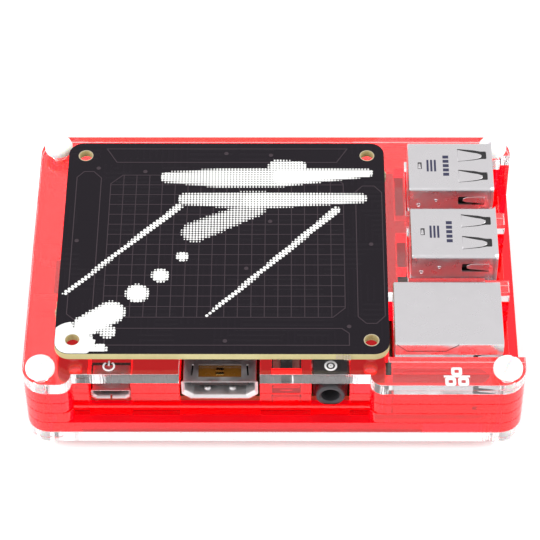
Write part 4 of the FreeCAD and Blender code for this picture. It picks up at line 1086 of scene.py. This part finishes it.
# ------------------------------------------------------------------ headers, ribbon connectors, chips
def build_headers():
    """Both halves of the pin header, each built of twenty eased cells, and the pins."""
    low, high = corners("gpio_base")
    pitch = (high.x - low.x) / 20
    for node, name, body in (("gpio_base", "header_base", CASE), ("addon_header", "header_socket", ADDON)):
        low, high = corners(node)
        bm = bmesh.new()
        outline = chamfered(low.x, low.y, low.x + pitch, high.y, 0.35)
        prism(bm, outline, low.z, high.z)
        cell = repeated(softened(solid(bm), 0.06, 1), 20, 1, pitch, 0, MOULDED)
        finished(cell, name, MOULDED, body, (node,), 30)
    low, high = corners("gpio_pins")
    half, tip = 0.32, 0.16
    bm = bmesh.new()
    rings = []
    for z, reach in ((low.z, tip), (low.z + 0.5, half), (high.z - 0.6, half), (high.z, tip)):
        rings.append([(low.x + half + a * reach, low.y + half + b * reach, z)
                      for a, b in ((-1, -1), (1, -1), (1, 1), (-1, 1))])
    loft(bm, rings)
    finished(repeated(solid(bm), 20, 2, 2.54, 2.54, GOLD), "header_pins", GOLD, CASE, ("gpio_pins",))


EASED = [
    # node, new name, finish, body, how much its edges are eased
    ("processor", "processor_package", MOULDED, CASE, 0.1),
    ("memory_chip", "memory_package", MOULDED, CASE, 0.1),
    ("usb_network_chip", "hub_package", MOULDED, CASE, 0.1),
    ("chokes", "choke_bodies", MOULDED, CASE, 0.15),
    ("crystals", "crystal_cans", STEEL, CASE, 0.2),
    ("camera_connector", "camera_ribbon_socket", CREAM, CASE, 0.12),
    ("display_connector", "display_ribbon_socket", CREAM, CASE, 0.12),
    ("camera_latch", "camera_ribbon_latch", MOULDED, "camera_flap", 0.12),
    ("display_latch", "display_ribbon_latch", MOULDED, "display_flap", 0.12),
    ("memory_card", "memory_card_body", MOULDED, "card", 0.08),
    ("card_slot_shell", "card_slot_cover", STEEL, CASE, 0.05),
    ("solder_legs", "solder_joints", STEEL, CASE, 0.25),
    ("sensing_chip", "sensing_can", STEEL, ADDON, 0.1),
    ("audio_clips", "audio_spring_clips", STEEL, CASE, 0.05),
    ("status_lamps", "status_lamp_lenses", LENS, CASE, 0.08),
    ("network_lamps", "network_lamp_lenses", LENS, CASE, 0.1),
    ("small_capacitors", "capacitor_bodies", CERAMIC, CASE, 0.08),
    ("small_resistors", "resistor_bodies", CERAMIC, CASE, 0.05),
    ("addon_small_parts", "addon_capacitors", CERAMIC, ADDON, 0.06),
]


def build_eased():
    """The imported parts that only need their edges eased."""
    for node, name, finish, body, width in EASED:
        finished(softened(copied(node), width), name, finish, body, (node,))


# ------------------------------------------------------------------ signs engraved in the clear top
def ring_of(bm, x, y, outer, inner, low, high, square=False):
    """A flat ring, round or with square sides."""
    def loop(radius):
        if square:
            return rounded(x - radius, y - 0.92 * radius, x + radius, y + 0.92 * radius, (0.4 * radius,) * 4, 4)
        return circle(x, y, radius, 28)
    rings = [[(*point, z) for point in loop(radius)]
             for radius, z in ((outer, low), (outer, high), (inner, high), (inner, low))]
    loft(bm, rings + rings[:1], capped=False)


def build_signs():
    """Frosted signs beside the sockets: linked boxes, a round plug hole and a mains switch sign."""
    face = corners("top_plate")[1].z
    low, high = face - 0.1, face + 0.02
    bm = bmesh.new()
    centre = on("main_board", 77.9, -2.8)
    for x, y in ((0, 1.25), (-1.24, -1.25), (1.24, -1.25)):
        ring_of(bm, centre.x + x, centre.y + y, 1.05, 0.42, low, high, True)
    box(bm, (centre.x - 2.53, centre.y - 0.22, low), (centre.x + 2.53, centre.y + 0.22, high))
    centre = on("main_board", 53.6, -0.2)
    ring_of(bm, centre.x, centre.y, 1.25, 0.85, low, high)
    ring_of(bm, centre.x, centre.y, 0.5, 0.1, low, high)
    centre = on("main_board", 10.6, -0.4)
    arc = [(centre.x + 1.05 * math.cos(a), centre.y + 1.05 * math.sin(a))
           for a in (math.radians(125 + 290 * i / 20) for i in range(21))]
    ribbon(bm, arc, 0.35, low, high)
    ribbon(bm, [(centre.x, centre.y + 0.1), (centre.x, centre.y + 1.35)], 0.35, low, high)
    finished(solid(bm), "engraved_signs", FROST, CASE, smooth=30)


# ------------------------------------------------------------------ studio
def build_studio():
    """A pale floor, a soft white surround and broad lamps."""
    bm = bmesh.new()
    box(bm, (-1500, -1500, -20), (1500, 1500, 0))
    floor = solid(bm, "studio_floor")
    floor.data.transform(Matrix.Scale(MM, 4))
    floor.data.materials.append(FLOOR)
    scene = bpy.context.scene
    scene.world = bpy.data.worlds.new("studio")
    scene.world.use_nodes = True
    sky = scene.world.node_tree.nodes["Background"]
    sky.inputs["Color"].default_value = (1.0, 1.0, 1.0, 1)
    sky.inputs["Strength"].default_value = 0.9
    for name, place, size, power in (("left_lamp", (-0.6, -0.2, 0.45), 0.5, 3.0),
                                     ("right_lamp", (0.6, -0.1, 0.4), 0.4, 2.0)):
        lamp = bpy.data.lights.new(name, "AREA")
        lamp.size, lamp.energy = size, power
        holder = linked(name, lamp)
        aim = (-Vector(place)).to_track_quat("-Z", "Y").to_matrix().to_4x4()
        holder.matrix_world = Matrix.Translation(place) @ aim
    scene.view_settings.view_transform = "Standard"
    for bounces in ("max_bounces", "transmission_bounces", "glossy_bounces", "transparent_max_bounces"):
        setattr(scene.cycles, bounces, 64)


def build_camera():
    """A long lens above the front edge."""
    azimuth, elevation, roll = (math.radians(angle) for angle in (0.85373, 49.32153, -0.60333))
    target, distance = Vector((-1.0327, 3.0954, 12.4)), 508.261
    back = Vector((math.sin(azimuth) * math.cos(elevation), -math.cos(azimuth) * math.cos(elevation),
                   math.sin(elevation)))
    right = (-back).cross(Vector((0, 0, 1))).normalized()
    up = back.cross(right)
    turn = Matrix((right, up, back)).transposed() @ Matrix.Rotation(roll, 3, "Z")
    lens = bpy.data.cameras.new("camera")
    lens.lens, lens.sensor_width = 165.87, 36.0
    lens.clip_start, lens.clip_end = 0.01, 10.0
    camera = linked("camera", lens)
    camera.matrix_world = Matrix.Translation((target + back * distance) * MM) @ turn.to_4x4()
    bpy.context.scene.camera = camera


build_camera()
build_studio()
build_plates()
build_fasteners()
build_copper()
build_print()
build_addon_edges()
for name in ("usb_front", "usb_back"):
    build_usb(name)
build_network()
build_video()
build_power()
build_audio()
build_headers()
build_eased()
build_signs()
